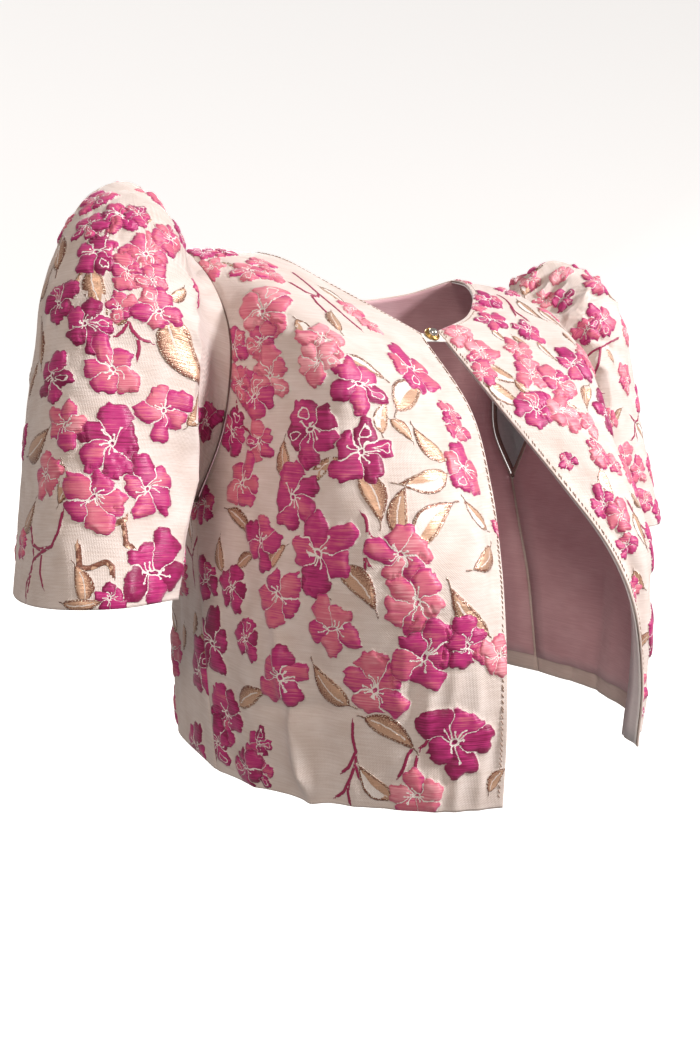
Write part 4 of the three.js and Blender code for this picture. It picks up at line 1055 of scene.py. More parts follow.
def cloth_panel(name, seams, mirrored, inner_material):
    panel = panels[name]
    draw_brocade(panel, name)
    rows, columns = panel["smooth"].shape[:2]
    closed = panel["closed"]
    relief = panel["relief"].reshape(rows, columns)
    puckers = weave_unevenness(panel["form"]) * (1 - 0.5 * np.clip(relief, 0, 1))
    fade = np.clip(np.minimum(np.arange(rows), np.arange(rows)[::-1]) / 3, 0, 1)[:, None]
    if not closed:
        fade = fade * np.clip(np.minimum(np.arange(columns), np.arange(columns)[::-1]) / 3, 0, 1)[None, :]
    lift = (relief + puckers) * fade + border_roll(panel, seams) - 0.25
    base = draw_in(panel["form"], closed, seams)
    outer = base + panel["form_normals"] * lift[..., None]
    inner = base - panel["form_normals"] * brocade_wall
    inner = inner[::2, ::2]
    points = np.concatenate([outer.reshape(-1, 3), inner.reshape(-1, 3)])
    faces, outer_count, inner_count = shell_faces(rows, columns, closed)
    places = {"figure_place": panel["place"], "under_place": panel["under_place"]}
    looks = {"figure_look": panel["look"], "under_look": panel["under_look"]}
    across, down = panel["flat"]
    column_count = columns if closed else columns - 1
    row, column = np.meshgrid(np.arange(rows - 1), np.arange(column_count), indexing="ij")
    row, column = row.ravel(), column.ravel()
    corner_rows = np.stack([row, row + 1, row + 1, row], 1)
    corner_columns = np.stack([column, column, column + 1, column + 1], 1)
    level = level_lengths(panel, down)
    flat = np.stack([across[corner_rows, corner_columns], level[corner_rows, corner_columns]], 2) * 0.001
    if mirrored:
        points = points * (-1, 1, 1)
    if signed_volume(points, faces) < 0:
        faces = [face[::-1] for face in faces]
        places = {key: place[:, ::-1] for key, place in places.items()}
        flat = flat[:, ::-1]
    piece = make_object(name + "_cloth", points, faces)
    mesh = piece.data
    loops = len(mesh.loops)
    painted = outer_count * 4
    for attribute, place in places.items():
        values = np.zeros((loops, 3))
        values[:painted] = place.reshape(-1, 3)
        write_corners(mesh, attribute, values)
    for attribute, look in looks.items():
        values = np.zeros((loops, 3))
        values[:painted] = np.repeat(look, 4, axis=0)
        write_corners(mesh, attribute, values)
    all_flat = np.zeros((loops, 2))
    all_flat[:painted] = flat.reshape(-1, 2)
    cloth_map = mesh.uv_layers.new(name="cloth")
    cloth_map.data.foreach_set("uv", all_flat.astype(np.float32).ravel())
    mesh.materials.append(brocade)
    mesh.materials.append(inner_material)
    slots = np.zeros(len(faces), dtype=np.int32)
    slots[outer_count:outer_count + inner_count] = 1
    mesh.polygons.foreach_set("material_index", slots)
    mesh.update()
    return piece


# %% [markdown]
# ## Materials
# A material is built from small sums, so a tiny helper lets a formula be written as a formula. Each
# plus, minus or times makes one Math node.

# %% A number inside a material
class Number:
    def __init__(self, tree, socket):
        self.tree = tree
        self.socket = socket

    def do(self, operation, *others):
        node = self.tree.nodes.new("ShaderNodeMath")
        node.operation = operation
        for index, value in enumerate((self, *others)):
            if isinstance(value, Number):
                self.tree.links.new(value.socket, node.inputs[index])
            else:
                node.inputs[index].default_value = value
        return Number(self.tree, node.outputs[0])

    def __add__(self, other):
        return self.do("ADD", other)

    def __sub__(self, other):
        return self.do("SUBTRACT", other)

    def __mul__(self, other):
        return self.do("MULTIPLY", other)

    def __truediv__(self, other):
        return self.do("DIVIDE", other)

    def over(self, number):
        return self.do("GREATER_THAN", number)

    def under(self, number):
        return self.do("LESS_THAN", number)

    def soft(self, low, high):
        node = self.tree.nodes.new("ShaderNodeMapRange")
        node.interpolation_type = "SMOOTHSTEP"
        self.tree.links.new(self.socket, node.inputs["Value"])
        node.inputs["From Min"].default_value = low
        node.inputs["From Max"].default_value = high
        return Number(self.tree, node.outputs["Result"])


# %% Helpers for a material's inputs and mixtures
def new_material(name):
    material = bpy.data.materials.new(name)
    material.use_nodes = True
    shader = material.node_tree.nodes["Principled BSDF"]
    return material, material.node_tree, shader


def attribute_parts(tree, name):
    node = tree.nodes.new("ShaderNodeAttribute")
    node.attribute_name = name
    parts = tree.nodes.new("ShaderNodeSeparateXYZ")
    tree.links.new(node.outputs["Vector"], parts.inputs[0])
    return [Number(tree, parts.outputs[index]) for index in range(3)]


def cloth_lengths(tree):
    node = tree.nodes.new("ShaderNodeUVMap")
    node.uv_map = "cloth"
    parts = tree.nodes.new("ShaderNodeSeparateXYZ")
    tree.links.new(node.outputs["UV"], parts.inputs[0])
    return Number(tree, parts.outputs[0]) * 1000, Number(tree, parts.outputs[1]) * 1000


def joined(tree, x, y, z=0.0):
    node = tree.nodes.new("ShaderNodeCombineXYZ")
    for index, value in enumerate((x, y, z)):
        if isinstance(value, Number):
            tree.links.new(value.socket, node.inputs[index])
        else:
            node.inputs[index].default_value = value
    return node.outputs[0]


def cloud(tree, vector, scale=1.0, detail=2.0):
    node = tree.nodes.new("ShaderNodeTexNoise")
    node.inputs["Scale"].default_value = scale
    node.inputs["Detail"].default_value = detail
    tree.links.new(vector, node.inputs["Vector"])
    return Number(tree, node.outputs["Fac"])


def blend(tree, share, first, second):
    node = tree.nodes.new("ShaderNodeMix")
    node.data_type = "RGBA"
    tree.links.new(share.socket, node.inputs["Factor"])
    for index, colour in ((6, first), (7, second)):
        if isinstance(colour, tuple):
            node.inputs[index].default_value = (*colour, 1.0)
        else:
            tree.links.new(colour, node.inputs[index])
    return node.outputs[2]


def from_screen(red, green, blue):
    def linear(value):
        value /= 255
        return value / 12.92 if value <= 0.04045 else ((value + 0.055) / 1.055) ** 2.4
    return (linear(red), linear(green), linear(blue))


def bump(tree, height, distance, strength=1.0):
    node = tree.nodes.new("ShaderNodeBump")
    node.inputs["Strength"].default_value = strength
    node.inputs["Distance"].default_value = distance
    tree.links.new(height.socket, node.inputs["Height"])
    return node.outputs["Normal"]


# %% Thread colours
ground_light = from_screen(238, 225, 219)
ground_dark = from_screen(217, 199, 189)
ground_pale = from_screen(246, 236, 230)
magenta_deep = from_screen(138, 18, 76)
magenta = from_screen(190, 46, 120)
rose = from_screen(214, 108, 130)
rose_pale = from_screen(238, 164, 174)
gold_light = from_screen(212, 170, 142)
gold_dark = from_screen(126, 78, 62)


# %% [markdown]
# ## The brocade itself
# Blossoms are woven in long floats of magenta and rose that run across the cloth, so their colour is
# streaked sideways and their outline is ragged by a thread or two. Each petal has painted shade at its
# rim and a painted highlight on its puffed middle. Pale ground shows between the petals and in the star
# of stamens. The leaves are bronze and gold thread; one half of each is painted darker as shade, and
# bright spots on them are painted glints.

# %% Thread positions and ragged edges
def thread_wander(tree, u, v):
    thread = cloud(tree, joined(tree, u * 0.12, v * 1.3), 1.0, 1.0)
    wobble = cloud(tree, joined(tree, u * 0.35, v * 0.35, 7.0), 1.0, 2.0)
    other = cloud(tree, joined(tree, u * 0.3, v * 0.3, 31.0), 1.0, 2.0)
    return (thread - 0.5) * 1.5 + (wobble - 0.5) * 1.8, (other - 0.5) * 1.8


# %% Blossom: depth inside the petals, pale lines and the star of stamens
stamen_count = 11
stamen_tip_step = 0.571


def blossom_drawing(tree, x, y, seed):
    new_x = x + (y * 6.5 + seed * 40).do("SINE") * 0.055 + (y * 15 - seed * 23).do("SINE") * 0.03
    y = y + (x * 7.0 + seed * 57).do("SINE") * 0.055 + (x * 14 + seed * 31).do("SINE") * 0.03
    x = new_x
    angle = y.do("ARCTAN2", x)
    sector = (angle / petal_step + 0.5).do("FLOOR")
    off = angle - sector * petal_step
    radius = (x * x + y * y).do("SQRT")
    sharp = off * 9
    notch = (sharp * sharp * -1).do("EXPONENT") * -0.10 + 1
    length = ((sector * 2.4 + seed * 6.3).do("SINE") * 0.14 + 0.86) * notch
    share = radius * off.do("COSINE") / length
    widest = (sector * 1.7 + seed * 9).do("SINE") * 0.06 + 0.37
    hump = (share.do("MAXIMUM", 0.0).do("MINIMUM", 1.0).do("POWER", 1.1) * math.pi).do("SINE")
    width = widest * hump.do("MAXIMUM", 0.0).do("POWER", 0.55)
    side = (radius * off.do("SINE")).do("ABSOLUTE")
    depth = (width - side) * share.under(1.0) - share.over(0.999)
    between = (angle / petal_step).do("FRACT") - 0.5
    border = (between * radius * petal_step).do("ABSOLUTE").under(0.022)
    some = (sector * 3.1 + seed * 21).do("SINE").over(-0.1)
    gap = border * some * radius.over(0.1) * radius.under(0.6)
    return angle, sector, off, radius, share, depth, gap


def blossom_stamens(tree, angle, radius, share, off, sector, seed):
    turn_share = angle * (stamen_count / (2 * math.pi)) + seed * 5
    ray = turn_share.do("FRACT") - 0.5
    ray_number = turn_share.do("FLOOR")
    reach = (ray_number * 2.9 + seed * 13).do("SINE") * 0.10 + 0.28
    line = (ray * radius * (2 * math.pi / stamen_count)).do("ABSOLUTE").under(0.016)
    drawn = (ray_number * 5.3 + seed * 29).do("SINE").over(-0.45)
    rays = line * radius.under(reach) * radius.over(0.06) * drawn
    tip_along = radius - reach
    tip_across = ray * radius * stamen_tip_step
    tip = (tip_along * tip_along + tip_across * tip_across).under(0.0009) * drawn
    heart = radius.under(0.10) * radius.over(0.055)
    loop_across = (radius * off.do("SINE")) / 0.11
    loop_along = (share - 0.62) / 0.2
    ring = ((loop_across * loop_across + loop_along * loop_along).do("SQRT") - 1).do("ABSOLUTE").under(0.13)
    has_loop = (sector * 4.7 + seed * 33).do("SINE").over(0.88)
    return rays.do("MAXIMUM", tip).do("MAXIMUM", heart).do("MAXIMUM", ring * has_loop)


# %% Leaf: depth inside, mid vein and the half that shows ground in open work
def leaf_drawing(tree, x, y, wide):
    along = (x * x * -1 + 1).do("MAXIMUM", 0.0)
    bend = y - (x * x * -1 + 1) * 0.2
    width = wide * along.do("POWER", 0.8) * (x * -0.4 + 1) + 0.05
    depth = (width - bend.do("ABSOLUTE")) * x.do("ABSOLUTE").under(1.3) - x.do("ABSOLUTE").over(1.299)
    vein = bend.do("ABSOLUTE").under(0.03) * x.under(0.6) * x.over(-0.8)
    return depth, bend, vein


# %% Threads of one layer of figures: its colour, what is raised and what is gold
def figure_layer(tree, place_name, look_name, threads, base):
    u, v, aside, upward, streak, patches, flecks_and_glint_spots = threads
    plain_x, plain_y, size = attribute_parts(tree, place_name)
    kind, tone, seed = attribute_parts(tree, look_name)
    x = plain_x + aside / size
    y = plain_y + upward / size
    is_blossom = kind.over(0.5) * kind.under(1.5)
    is_leaf = kind.over(1.5) * kind.under(3.5)
    is_open = kind.over(2.5) * kind.under(3.5)

    angle, sector, off, radius, share, depth, gap = blossom_drawing(tree, x, y, seed)
    stamens = blossom_stamens(tree, angle, radius, share, off, sector, seed)
    petal = depth.soft(0.0, 0.03) * is_blossom
    lines = gap.do("MAXIMUM", stamens)
    petal_threads = petal * (lines * -1 + 1)
    sector_tone = (sector * 2.2 + seed * 17).do("SINE") * 0.14
    # Painted shade and highlight: each petal is darker at its rim and paler on its puffed middle
    rim_shade_tone = (depth.soft(0.02, 0.2) - 0.5) * 0.22
    paleness = tone * 0.8 + (streak - 0.5) * 1.1 + (patches - 0.5) * 0.7 + sector_tone + rim_shade_tone
    flower = blend(tree, paleness.soft(-0.1, 0.3), magenta_deep, magenta)
    flower = blend(tree, paleness.soft(0.28, 0.62), flower, rose)
    flower = blend(tree, paleness.soft(0.62, 1.05), flower, rose_pale)

    leaf, bend, vein = leaf_drawing(tree, x, y, tone)
    leaf_inside = leaf.soft(0.0, 0.05) * is_leaf
    leaf_rim = leaf_inside * leaf.under(0.13)
    open_ground = is_open * bend.over(0.0) * leaf.over(0.13) * x.over(-0.7)
    leaf_threads = leaf_inside * (open_ground * -1 + 1) * (vein * -0.8 + 1)
    # Painted shade: one half of each leaf, across the mid vein, is darker as its shaded side; random spots
    # vary the rest and the rim is darker
    metal_share_and_half_shade = flecks_and_glint_spots * 1.1 - leaf_rim * 0.5 - bend * 0.8 + 0.1
    metal = blend(tree, metal_share_and_half_shade.soft(0.2, 0.8), gold_dark, gold_light)
    # Painted glints: near-white spots where the gold thread would catch the light, most on the leaf's rim
    painted_glint = flecks_and_glint_spots.over(0.6) * (leaf_rim * 0.95 + 0.12)

    line_inside = ((plain_y + aside * 0.45).do("ABSOLUTE") * -1 + size).soft(-0.1, 0.25)
    stem = line_inside * kind.over(3.5) * kind.under(4.5)
    tendril = line_inside * kind.over(4.5)
    gold = leaf_threads.do("MAXIMUM", tendril)
    colour = blend(tree, stem, base, from_screen(158, 38, 84))
    covered = petal.do("MAXIMUM", leaf_inside)
    colour = blend(tree, covered, colour, ground_pale)
    colour = blend(tree, petal_threads, colour, flower)
    colour = blend(tree, gold, colour, metal)
    # The painted glints laid over the gold
    colour = blend(tree, painted_glint * gold, colour, from_screen(255, 246, 224))
    raised = petal_threads.do("MAXIMUM", stem).do("MAXIMUM", gold)
    puff = petal_threads * depth.soft(0.0, 0.2) + gold * 0.5 + stem * 0.5
    return colour, raised, gold, covered, puff


# %% Put the brocade together: ground, the figures below and the figures on top
def brocade_material():
    material, tree, shader = new_material("blossom_brocade")
    u, v = cloth_lengths(tree)
    aside, upward = thread_wander(tree, u, v)
    streak = cloud(tree, joined(tree, u * 0.045, v * 1.15, 3.0), 1.0, 3.0)
    patches = cloud(tree, joined(tree, u * 0.09, v * 0.12, 11.0), 1.0, 2.0)
    flecks_and_glint_spots = cloud(tree, joined(tree, u * 1.1, v * 1.4, 5.0), 1.0, 2.0)
    threads = (u, v, aside, upward, streak, patches, flecks_and_glint_spots)
    slubs = cloud(tree, joined(tree, u * 0.05, v * 0.9, 1.0), 1.0, 3.0)
    mottling = cloud(tree, joined(tree, u * 0.05, v * 0.05, 9.0), 1.0, 2.0)
    ground = blend(tree, (slubs * 0.6 + mottling * 0.7 - 0.15).soft(0.2, 0.8), ground_dark, ground_light)

    colour, raised, gold, covered, puff = figure_layer(tree, "under_place", "under_look", threads, ground)
    top = figure_layer(tree, "figure_place", "figure_look", threads, colour)
    hidden = top[3] * -1 + 1
    colour = top[0]
    raised = top[1].do("MAXIMUM", raised * hidden)
    gold = top[2].do("MAXIMUM", gold * hidden)
    puff = top[4].do("MAXIMUM", puff * hidden)
    tree.links.new(colour, shader.inputs["Base Color"])

    warp = (u * (2 * math.pi / 0.9)).do("SINE") * 0.5
    weft = (v * (2 * math.pi / 0.75)).do("SINE") * 0.5
    twill = ((u + v * 1.4) * (2 * math.pi / 1.6)).do("SINE") * 0.5
    ground_weave = (warp + weft + twill + slubs * 1.6) * 0.12
    floats = streak * 0.9 + weft * 0.12
    height = raised * 0.4 + puff * 0.7 + raised * floats * 0.45 + (raised * -1 + 1) * ground_weave
    tree.links.new(bump(tree, height, 0.0011, 0.8), shader.inputs["Normal"])

    roughness = blend(tree, raised, (0.5, 0.5, 0.5), (0.4, 0.4, 0.4))
    roughness = blend(tree, gold, roughness, (0.34, 0.34, 0.34))
    tree.links.new(roughness, shader.inputs["Roughness"])
    tree.links.new((gold * 0.3).socket, shader.inputs["Metallic"])
    shader.inputs["Sheen Weight"].default_value = 0.2
    shader.inputs["Sheen Roughness"].default_value = 0.4
    shader.inputs["Sheen Tint"].default_value = (1.0, 0.93, 0.95, 1.0)
    shader.inputs["Specular IOR Level"].default_value = 0.45
    return material


brocade = brocade_material()
print("brocade nodes:", len(brocade.node_tree.nodes))


# %% Plain cloths: back of the brocade, white facing and rose lining
def plain_cloth(name, dark, light, thread, roughness, sheen):
    material, tree, shader = new_material(name)
    place = tree.nodes.new("ShaderNodeTexCoord")
    parts = tree.nodes.new("ShaderNodeSeparateXYZ")
    tree.links.new(place.outputs["Object"], parts.inputs[0])
    x, y, z = [Number(tree, parts.outputs[index]) * 1000 for index in range(3)]
    runs = cloud(tree, joined(tree, x * 0.06, y * 0.06, z * 1.2), 1.0, 3.0)
    drift = cloud(tree, joined(tree, x * 0.03, y * 0.03, z * 0.03), 1.0, 2.0)
    share = (runs * 0.6 + drift * 0.6 - 0.1).soft(0.2, 0.8)
    colour = blend(tree, share, from_screen(*dark), from_screen(*light))
    tree.links.new(colour, shader.inputs["Base Color"])
    turns = 2 * math.pi / thread
    fine = (z * turns).do("SINE") * 0.3 + ((x + y) * turns).do("SINE") * 0.3
    tree.links.new(bump(tree, fine + runs, 0.0003, 0.5), shader.inputs["Normal"])
    shader.inputs["Roughness"].default_value = roughness
    shader.inputs["Sheen Weight"].default_value = sheen
    return material


reverse_cloth = plain_cloth("brocade_reverse", (206, 188, 178), (226, 212, 204), 0.9, 0.65, 0.1)
facing_cloth = plain_cloth("white_facing", (240, 237, 238), (253, 251, 251), 0.8, 0.7, 0.1)
lining_cloth = plain_cloth("rose_lining", (204, 156, 164), (228, 188, 194), 0.7, 0.42, 0.3)
# Painted shade: a dark brown-grey cloth for the armhole cord, standing in for the shadow in the seam
seam_shadow_cloth = plain_cloth("seam_painted_shadow", (122, 98, 92), (150, 126, 118), 0.8, 0.8, 0.05)
white_lining = plain_cloth("sleeve_lining", (228, 226, 228), (244, 243, 245), 0.7, 0.5, 0.2)

# %% Make the five panels of brocade
front_right_cloth = cloth_panel("front_right", ("top", "end"), True, reverse_cloth)
front_left_cloth = cloth_panel("front_left", ("top", "end"), False, reverse_cloth)
back_cloth = cloth_panel("back", ("top", "start", "end"), False, reverse_cloth)
sleeve_right_cloth = cloth_panel("sleeve_right", (), True, white_lining)
sleeve_left_cloth = cloth_panel("sleeve_left", (), False, white_lining)

# %% [markdown]
# ## Facings and linings
# Inside, a white strip of facing runs down each open edge, and a rose satin lining is sewn to it.
# The lining stops short of the hem. Both are thin shells a little inside the brocade.

# %% A layer on the inside of a panel
lining_gap = 0.65
lining_wall = 1.0
facing_width = 16.0


def inside_layer(name, panel, keep, step, material, mirrored):
    rows = np.arange(keep[0], keep[1], step[0])
    columns = np.arange(keep[2], keep[3], step[1])
    rows = np.unique(np.append(rows, keep[1] - 1))
    columns = np.unique(np.append(columns, keep[3] - 1))
    if len(rows) % 2 == 0:
        rows = np.delete(rows, -2)
    if len(columns) % 2 == 0:
        columns = np.delete(columns, -2)
    form = panel["form"][np.ix_(rows, columns)]
    normals = panel["form_normals"][np.ix_(rows, columns)]
    slack = 0.4 * np.sin(form[..., 2] / 11) * np.sin(form[..., 0] / 13 + 1)
    toward_wearer = form - normals * (brocade_wall + lining_gap)
    depth = brocade_wall + lining_gap + lining_wall + 0.3 * np.abs(slack)[..., None]
    inner = form - normals * depth
    points = np.concatenate([toward_wearer.reshape(-1, 3), inner[::2, ::2].reshape(-1, 3)])
    faces, _, _ = shell_faces(len(rows), len(columns), False)
    return closed_piece(name, points, faces, material, mirrored)


# %% Facing and lining of each front, and the back lining
inside_pieces = {}
for side in ("right", "left"):
    panel = panels[f"front_{side}"]
    row_length = panel["flat"][0].mean(axis=0)
    facing_columns = int(np.searchsorted(row_length, facing_width)) + 1
    mirrored = side == "right"
    inside_pieces[f"facing_{side}"] = inside_layer(
        f"facing_{side}_cloth", panel, (2, front_rows - 1, 1, facing_columns), (3, 3), facing_cloth,
        mirrored)
    inside_pieces[f"lining_front_{side}"] = inside_layer(
        f"lining_front_{side}_cloth", panel, (1, front_rows - 10, facing_columns, front_columns - 1), (3, 3),
        lining_cloth, mirrored)
inside_pieces["lining_back"] = inside_layer(
    "lining_back_cloth", panels["back"], (1, back_rows - 7, 1, back_columns - 1), (2, 2), lining_cloth,
    False)
print("inside pieces:", len(inside_pieces))

# %% [markdown]
# ## Armhole seams
# The sleeve is set into the armhole with its seam allowance turned inside. The allowance shows only
# as a soft cord of cloth that closes the seam from within; the cord is dark brown-grey, painted shade
# for the shadow deep in the seam.

# %% Cord of cloth behind each armhole seam, painted dark as the seam's shadow
cord_radius = 2.0
cord_inward, cord_outward = 2.4, 0.5


def armhole_cord(name, mirrored):
    count, round_steps = 320, 10
    shares = np.arange(count) / count
    ring = armhole_at(shares)
    forward = np.roll(ring, -1, axis=0) - np.roll(ring, 1, axis=0)
    forward /= np.linalg.norm(forward, axis=1)[:, None]
    outward = np.tile((1.0, 0.0, 0.0), (count, 1))
    outward -= forward * np.sum(outward * forward, axis=1)[:, None]
    outward /= np.linalg.norm(outward, axis=1)[:, None]
    inward = ring.mean(axis=0) - ring
    inward -= forward * np.sum(inward * forward, axis=1)[:, None]
    inward -= outward * np.sum(inward * outward, axis=1)[:, None]
    inward /= np.linalg.norm(inward, axis=1)[:, None]
    centre = ring + inward * cord_inward - outward * cord_outward
    points, faces = [], []
    for step in range(round_steps):
        angle = step * 2 * math.pi / round_steps
        points.append(centre + (outward * math.cos(angle) + inward * math.sin(angle)) * cord_radius)
    points = np.stack(points, 1).reshape(-1, 3)
    for i in range(count):
        for step in range(round_steps):
            beside, after = (step + 1) % round_steps, (i + 1) % count
            faces.append((i * round_steps + step, after * round_steps + step,
                          after * round_steps + beside, i * round_steps + beside))
    return closed_piece(name, points, faces, seam_shadow_cloth, mirrored)


cord_right = armhole_cord("armhole_cord_right", True)
cord_left = armhole_cord("armhole_cord_left", False)
print("cord faces:", len(cord_right.data.polygons))

# %% [markdown]
# ## The neck tab and its snap
# The fronts don't meet. A short white ribbon bridges them at the neck. It is sewn under the left
# front, and a metal snap presses it down beside that edge.

# %% Frame of the fastening
fastening_place = Vector((-9.5, -68.6, -76.9))
fastening_normal = Vector((-0.05, -0.72, 0.69)).normalized()
fastening_turn = Vector((0, 0, 1)).rotation_difference(fastening_normal).to_matrix()
tab_right, tab_left_below, tab_left_above = 10.7, 11.05, 9.7
tab_width, tab_thickness = 9.0, 1.2


def from_fastening(points):
    turned = points @ np.array(fastening_turn).T
    return turned + np.array(fastening_place)


# %% Ribbon with a ribbed face and doubled edges
ribbon_rows, ribbon_columns = 25, 61


def ribbon_points(height_shift):
    rows, columns = ribbon_rows, ribbon_columns
    up = np.linspace(-1, 1, rows)[:, None] * np.ones((1, columns))
    end = np.linspace(0, 1, columns)[None, :] * np.ones((rows, 1))
    left_end = tab_left_below + (tab_left_above - tab_left_below) * (up + 1) / 2
    x = -tab_right + (left_end + tab_right) * end
    pinch = 0.35 * np.exp(-((x + 1) / 6) ** 2)
    y = up * (tab_width / 2 - pinch)
    ribs = 0.05 * np.sin(x * 2 * math.pi / 0.9)
    selvedge = 0.14 * np.exp(-((np.abs(up) - 0.86) / 0.09) ** 2)
    waves = 0.16 * np.sin(x / 3.1) * up + 0.12 * np.cos(x / 4.0)
    z = height_shift + (ribs + selvedge + waves - 0.12 if height_shift == 0 else 0) + 0 * x
    return np.stack([x, y, z], 2)


top_side, under_side = ribbon_points(0), ribbon_points(-tab_thickness)
points = from_fastening(np.concatenate([top_side.reshape(-1, 3), under_side[::2, ::2].reshape(-1, 3)]))
faces, _, _ = shell_faces(ribbon_rows, ribbon_columns, False)
tab_cloth = plain_cloth("tab_ribbon", (226, 222, 216), (248, 246, 242), 0.8, 0.7, 0.1)
tab_piece = closed_piece("neck_tab_ribbon", points, faces, tab_cloth)
print("ribbon:", round(2 * tab_right, 1), "mm long")


# %% Metal of the snap
def metal(name, colour, roughness):
    material, tree, shader = new_material(name)
    place = tree.nodes.new("ShaderNodeTexCoord")
    wear = cloud(tree, place.outputs["Object"], 900.0, 3.0)
    tree.links.new(blend(tree, wear.soft(0.35, 0.75), colour, tuple(0.82 * part for part in colour)),
                   shader.inputs["Base Color"])
    tree.links.new((wear * 0.12 + roughness).socket, shader.inputs["Roughness"])
    shader.inputs["Metallic"].default_value = 1.0
    return material


pale_metal = metal("snap_pale_metal", from_screen(226, 222, 214), 0.14)
gold_metal = metal("snap_gold_metal", from_screen(206, 168, 104), 0.24)


# %% Snap cap: plate, stepped gold rim and a polished domed top
def only(piece):
    bpy.ops.object.select_all(action="DESELECT")
    piece.select_set(True)
    bpy.context.view_layer.objects.active = piece


def place_on_fastening(piece, shift):
    only(piece)
    turn_matrix = fastening_turn.to_4x4()
    local = Matrix.Translation(Vector(shift) * 0.001)
    piece.matrix_world = Matrix.Translation(fastening_place * 0.001) @ turn_matrix @ local
    bpy.ops.object.transform_apply(location=True, rotation=True, scale=True)
    bpy.ops.object.shade_smooth_by_angle(angle=math.radians(40))


snap_shift = 1.8
snap_rise = 0.3
snap_pieces = []


def add_to_snap(piece, height, material):
    place_on_fastening(piece, (0, snap_shift, snap_rise + height))
    piece.data.materials.append(material)
    snap_pieces.append(piece)


bpy.ops.object.select_all(action="DESELECT")
bpy.ops.mesh.primitive_cylinder_add(vertices=96, radius=0.0062, depth=0.0016)
plate = bpy.context.object
plate.name = "snap_plate"
only(plate)
bevel = plate.modifiers.new("edge", "BEVEL")
bevel.width = 0.0006
bevel.segments = 4
bevel.limit_method = "ANGLE"
bpy.ops.object.modifier_apply(modifier="edge")
add_to_snap(plate, 0.8, gold_metal)

for ring_name, ring_radius, ring_thickness, ring_height in (
        ("snap_outer_ring", 0.0054, 0.00052, 1.62), ("snap_inner_ring", 0.0043, 0.00038, 1.78)):
    bpy.ops.object.select_all(action="DESELECT")
    bpy.ops.mesh.primitive_torus_add(major_radius=ring_radius, minor_radius=ring_thickness,
                                     major_segments=96, minor_segments=16)
    ring = bpy.context.object
    ring.name = ring_name
    add_to_snap(ring, ring_height, gold_metal)

bpy.ops.object.select_all(action="DESELECT")
bpy.ops.mesh.primitive_uv_sphere_add(segments=72, ring_count=36, radius=0.004)
top = bpy.context.object
top.name = "snap_top"
only(top)
bpy.ops.transform.resize(value=(1, 1, 0.27), center_override=(0, 0, 0))
add_to_snap(top, 1.68, pale_metal)
print("snap pieces:", len(snap_pieces))

# %% [markdown]
# ## Stitching
# The right front's edge is caught down by slanted stitches in brown thread, 3.4 mm apart and 3.2 mm
# in from the edge. The left front has the same.

# %% Slanted stitches along an open edge
stitch_pitch = 3.4
stitch_length = 2.9
stitch_thickness = 0.28
stitch_inset = 3.2
stitch_sections = 7


def stitch_row(name, panel, mirrored):
    surface_points = panel["form"]
    normals = panel["form_normals"]
    across, down = panel["flat"]
    columns = surface_points.shape[1]
    points, faces = [], []
    edge_length = down[-1, 0]
    count = int((edge_length - 8) / stitch_pitch)
    for number in range(count):
        target = 5 + number * stitch_pitch
        row = int(np.argmin(np.abs(down[:, 0] - target)))
        row = min(max(row, 2), len(surface_points) - 3)
        share = stitch_inset / across[row, 1]
        column = min(int(share), columns - 3)
        part = share - column
        at = surface_points[row, column] * (1 - part) + surface_points[row, column + 1] * part
        normal = normals[row, column]
        downwards = surface_points[row + 1, column] - surface_points[row - 1, column]
        downwards /= np.linalg.norm(downwards)
        sideways = np.cross(normal, downwards)
        inward = surface_points[row, column + 1] - surface_points[row, column]
        sideways *= math.copysign(1, sideways @ inward)
        lean = math.radians(30 + 6 * math.sin(number * 1.9))
        run = downwards * math.cos(lean) - sideways * math.sin(lean)
        width = np.cross(normal, run)
        start = len(points)
        for k in range(stitch_sections):
            along = k / (stitch_sections - 1) * 2 - 1
            middle = at + run * along * stitch_length / 2 + normal * (0.42 * (1 - along ** 2) - 0.28)
            girth = stitch_thickness * (1.15 - 0.35 * along ** 2)
            for corner in range(6):
                angle = corner * math.pi / 3
                points.append(middle + (width * math.cos(angle) + normal * math.sin(angle)) * girth)
            if k:
                for corner in range(6):
                    low, beside = start + (k - 1) * 6 + corner, start + (k - 1) * 6 + (corner + 1) % 6
                    faces.append((low, beside, beside + 6, low + 6))
        faces.append(tuple(start + corner for corner in range(5, -1, -1)))
        faces.append(tuple(start + (stitch_sections - 1) * 6 + corner for corner in range(6)))
    return closed_piece(name, np.array(points), faces, brown_thread, mirrored), count


def thread_material(name, colour):
    material, tree, shader = new_material(name)
    place = tree.nodes.new("ShaderNodeTexCoord")
    twist = cloud(tree, place.outputs["Object"], 1400.0, 2.0)
    tree.links.new(blend(tree, twist.soft(0.3, 0.7), tuple(0.7 * part for part in colour), colour),
                   shader.inputs["Base Color"])
    shader.inputs["Roughness"].default_value = 0.5
    shader.inputs["Sheen Weight"].default_value = 0.3
    return material


brown_thread = thread_material("brown_thread", from_screen(150, 112, 88))
right_stitches, count = stitch_row("stitches_right", panels["front_right"], True)
left_stitches, count_left = stitch_row("stitches_left", panels["front_left"], False)
print("stitches:", count, count_left)

# %% [markdown]
# ## Join to the frame
# Every piece moves with the one body. The cloths, the tab and the snap's plate stand for their
# solids. The stitches and the cords only ride along.

# %% Bodies and solids
cloth_pieces = {
    "front_right": front_right_cloth, "front_left": front_left_cloth, "back": back_cloth,
    "sleeve_right": sleeve_right_cloth, "sleeve_left": sleeve_left_cloth,
}
for node, piece in cloth_pieces.items():
    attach(piece, "root")
    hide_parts(node)
for node, piece in inside_pieces.items():
    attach(piece, "root")
    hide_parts(node)
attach(tab_piece, "root")
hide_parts("neck_tab")
for piece in snap_pieces:
    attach(piece, "root")
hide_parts("snap_cap")
for piece in (right_stitches, left_stitches, cord_right, cord_left):
    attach(piece, "root")
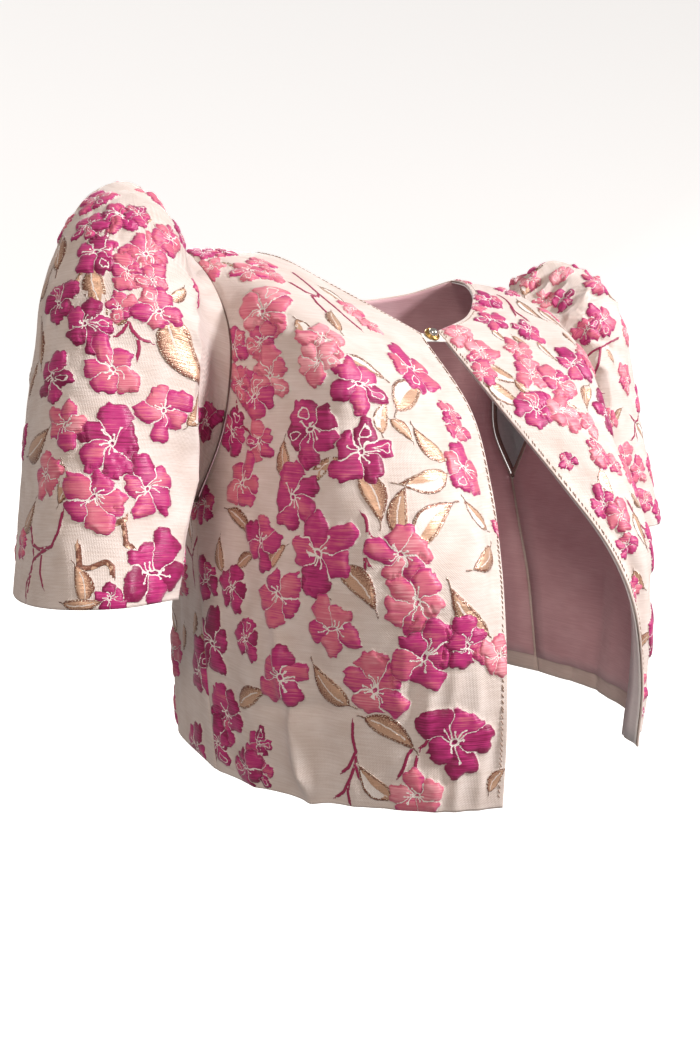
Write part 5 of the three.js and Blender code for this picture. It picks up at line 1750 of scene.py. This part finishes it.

# %% [markdown]
# ## Flat sizes
# The loop below over the two fronts does nothing: no sheet is stated flat here. The sleeves are a tube.

for side, cloth in (("right", front_right_cloth), ("left", front_left_cloth)):
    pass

# %% [markdown]
# ## Floor and light
# A plain pale floor lies under the garment and rises softly on all sides. A small bright lamp shines
# from the wearer's left, in front and above, a weak warm one from the right, and a broad one from
# behind. A faint warm sky fills the shadows.

# %% Floor that rises to the sides
bpy.ops.object.select_all(action="DESELECT")
bpy.ops.mesh.primitive_grid_add(x_subdivisions=80, y_subdivisions=80, size=10, location=(0, 0, 0))
floor = bpy.context.object
floor.name = "floor"
for vertex in floor.data.vertices:
    reach = max(0.0, math.hypot(vertex.co.x, vertex.co.y) - 1.2)
    vertex.co.z = -1.3 + 0.5 * reach ** 2
bpy.ops.object.shade_smooth()
floor_material, _, floor_shader = new_material("pale_floor")
floor_shader.inputs["Base Color"].default_value = (*from_screen(236, 234, 232), 1.0)
floor_shader.inputs["Roughness"].default_value = 0.9
floor_shader.inputs["Emission Color"].default_value = (1.0, 0.995, 0.99, 1.0)
floor_shader.inputs["Emission Strength"].default_value = 0.55
floor.data.materials.append(floor_material)
floor.visible_diffuse = False
floor.visible_glossy = False
floor.visible_shadow = False


# %% Lamps
def soft_lamp(name, direction, distance, size, watts, colour):
    data = bpy.data.lights.new(name, "AREA")
    data.shape = "DISK"
    data.size = size
    data.energy = watts
    data.color = colour
    lamp = bpy.data.objects.new(name, data)
    bpy.context.scene.collection.objects.link(lamp)
    towards = Vector(direction).normalized()
    lamp.location = Vector((0, 0, -0.2)) + towards * distance
    lamp.rotation_euler = towards.to_track_quat("Z", "Y").to_euler()
    return lamp


soft_lamp("key", (0.45, -0.74, 0.50), 2.4, 0.4, 74, (1.0, 0.985, 0.985))
soft_lamp("fill", (-0.65, -0.62, 0.42), 2.2, 0.5, 13, (1.0, 0.87, 0.76))
soft_lamp("back", (0.25, 0.85, 0.45), 2.4, 1.2, 40, (1.0, 0.97, 0.95))
world = bpy.data.worlds.new("studio")
world.use_nodes = True
world.node_tree.nodes["Background"].inputs["Color"].default_value = (1.0, 0.935, 0.89, 1.0)
world.node_tree.nodes["Background"].inputs["Strength"].default_value = 0.3
bpy.context.scene.world = world
bpy.context.scene.view_settings.view_transform = "Standard"
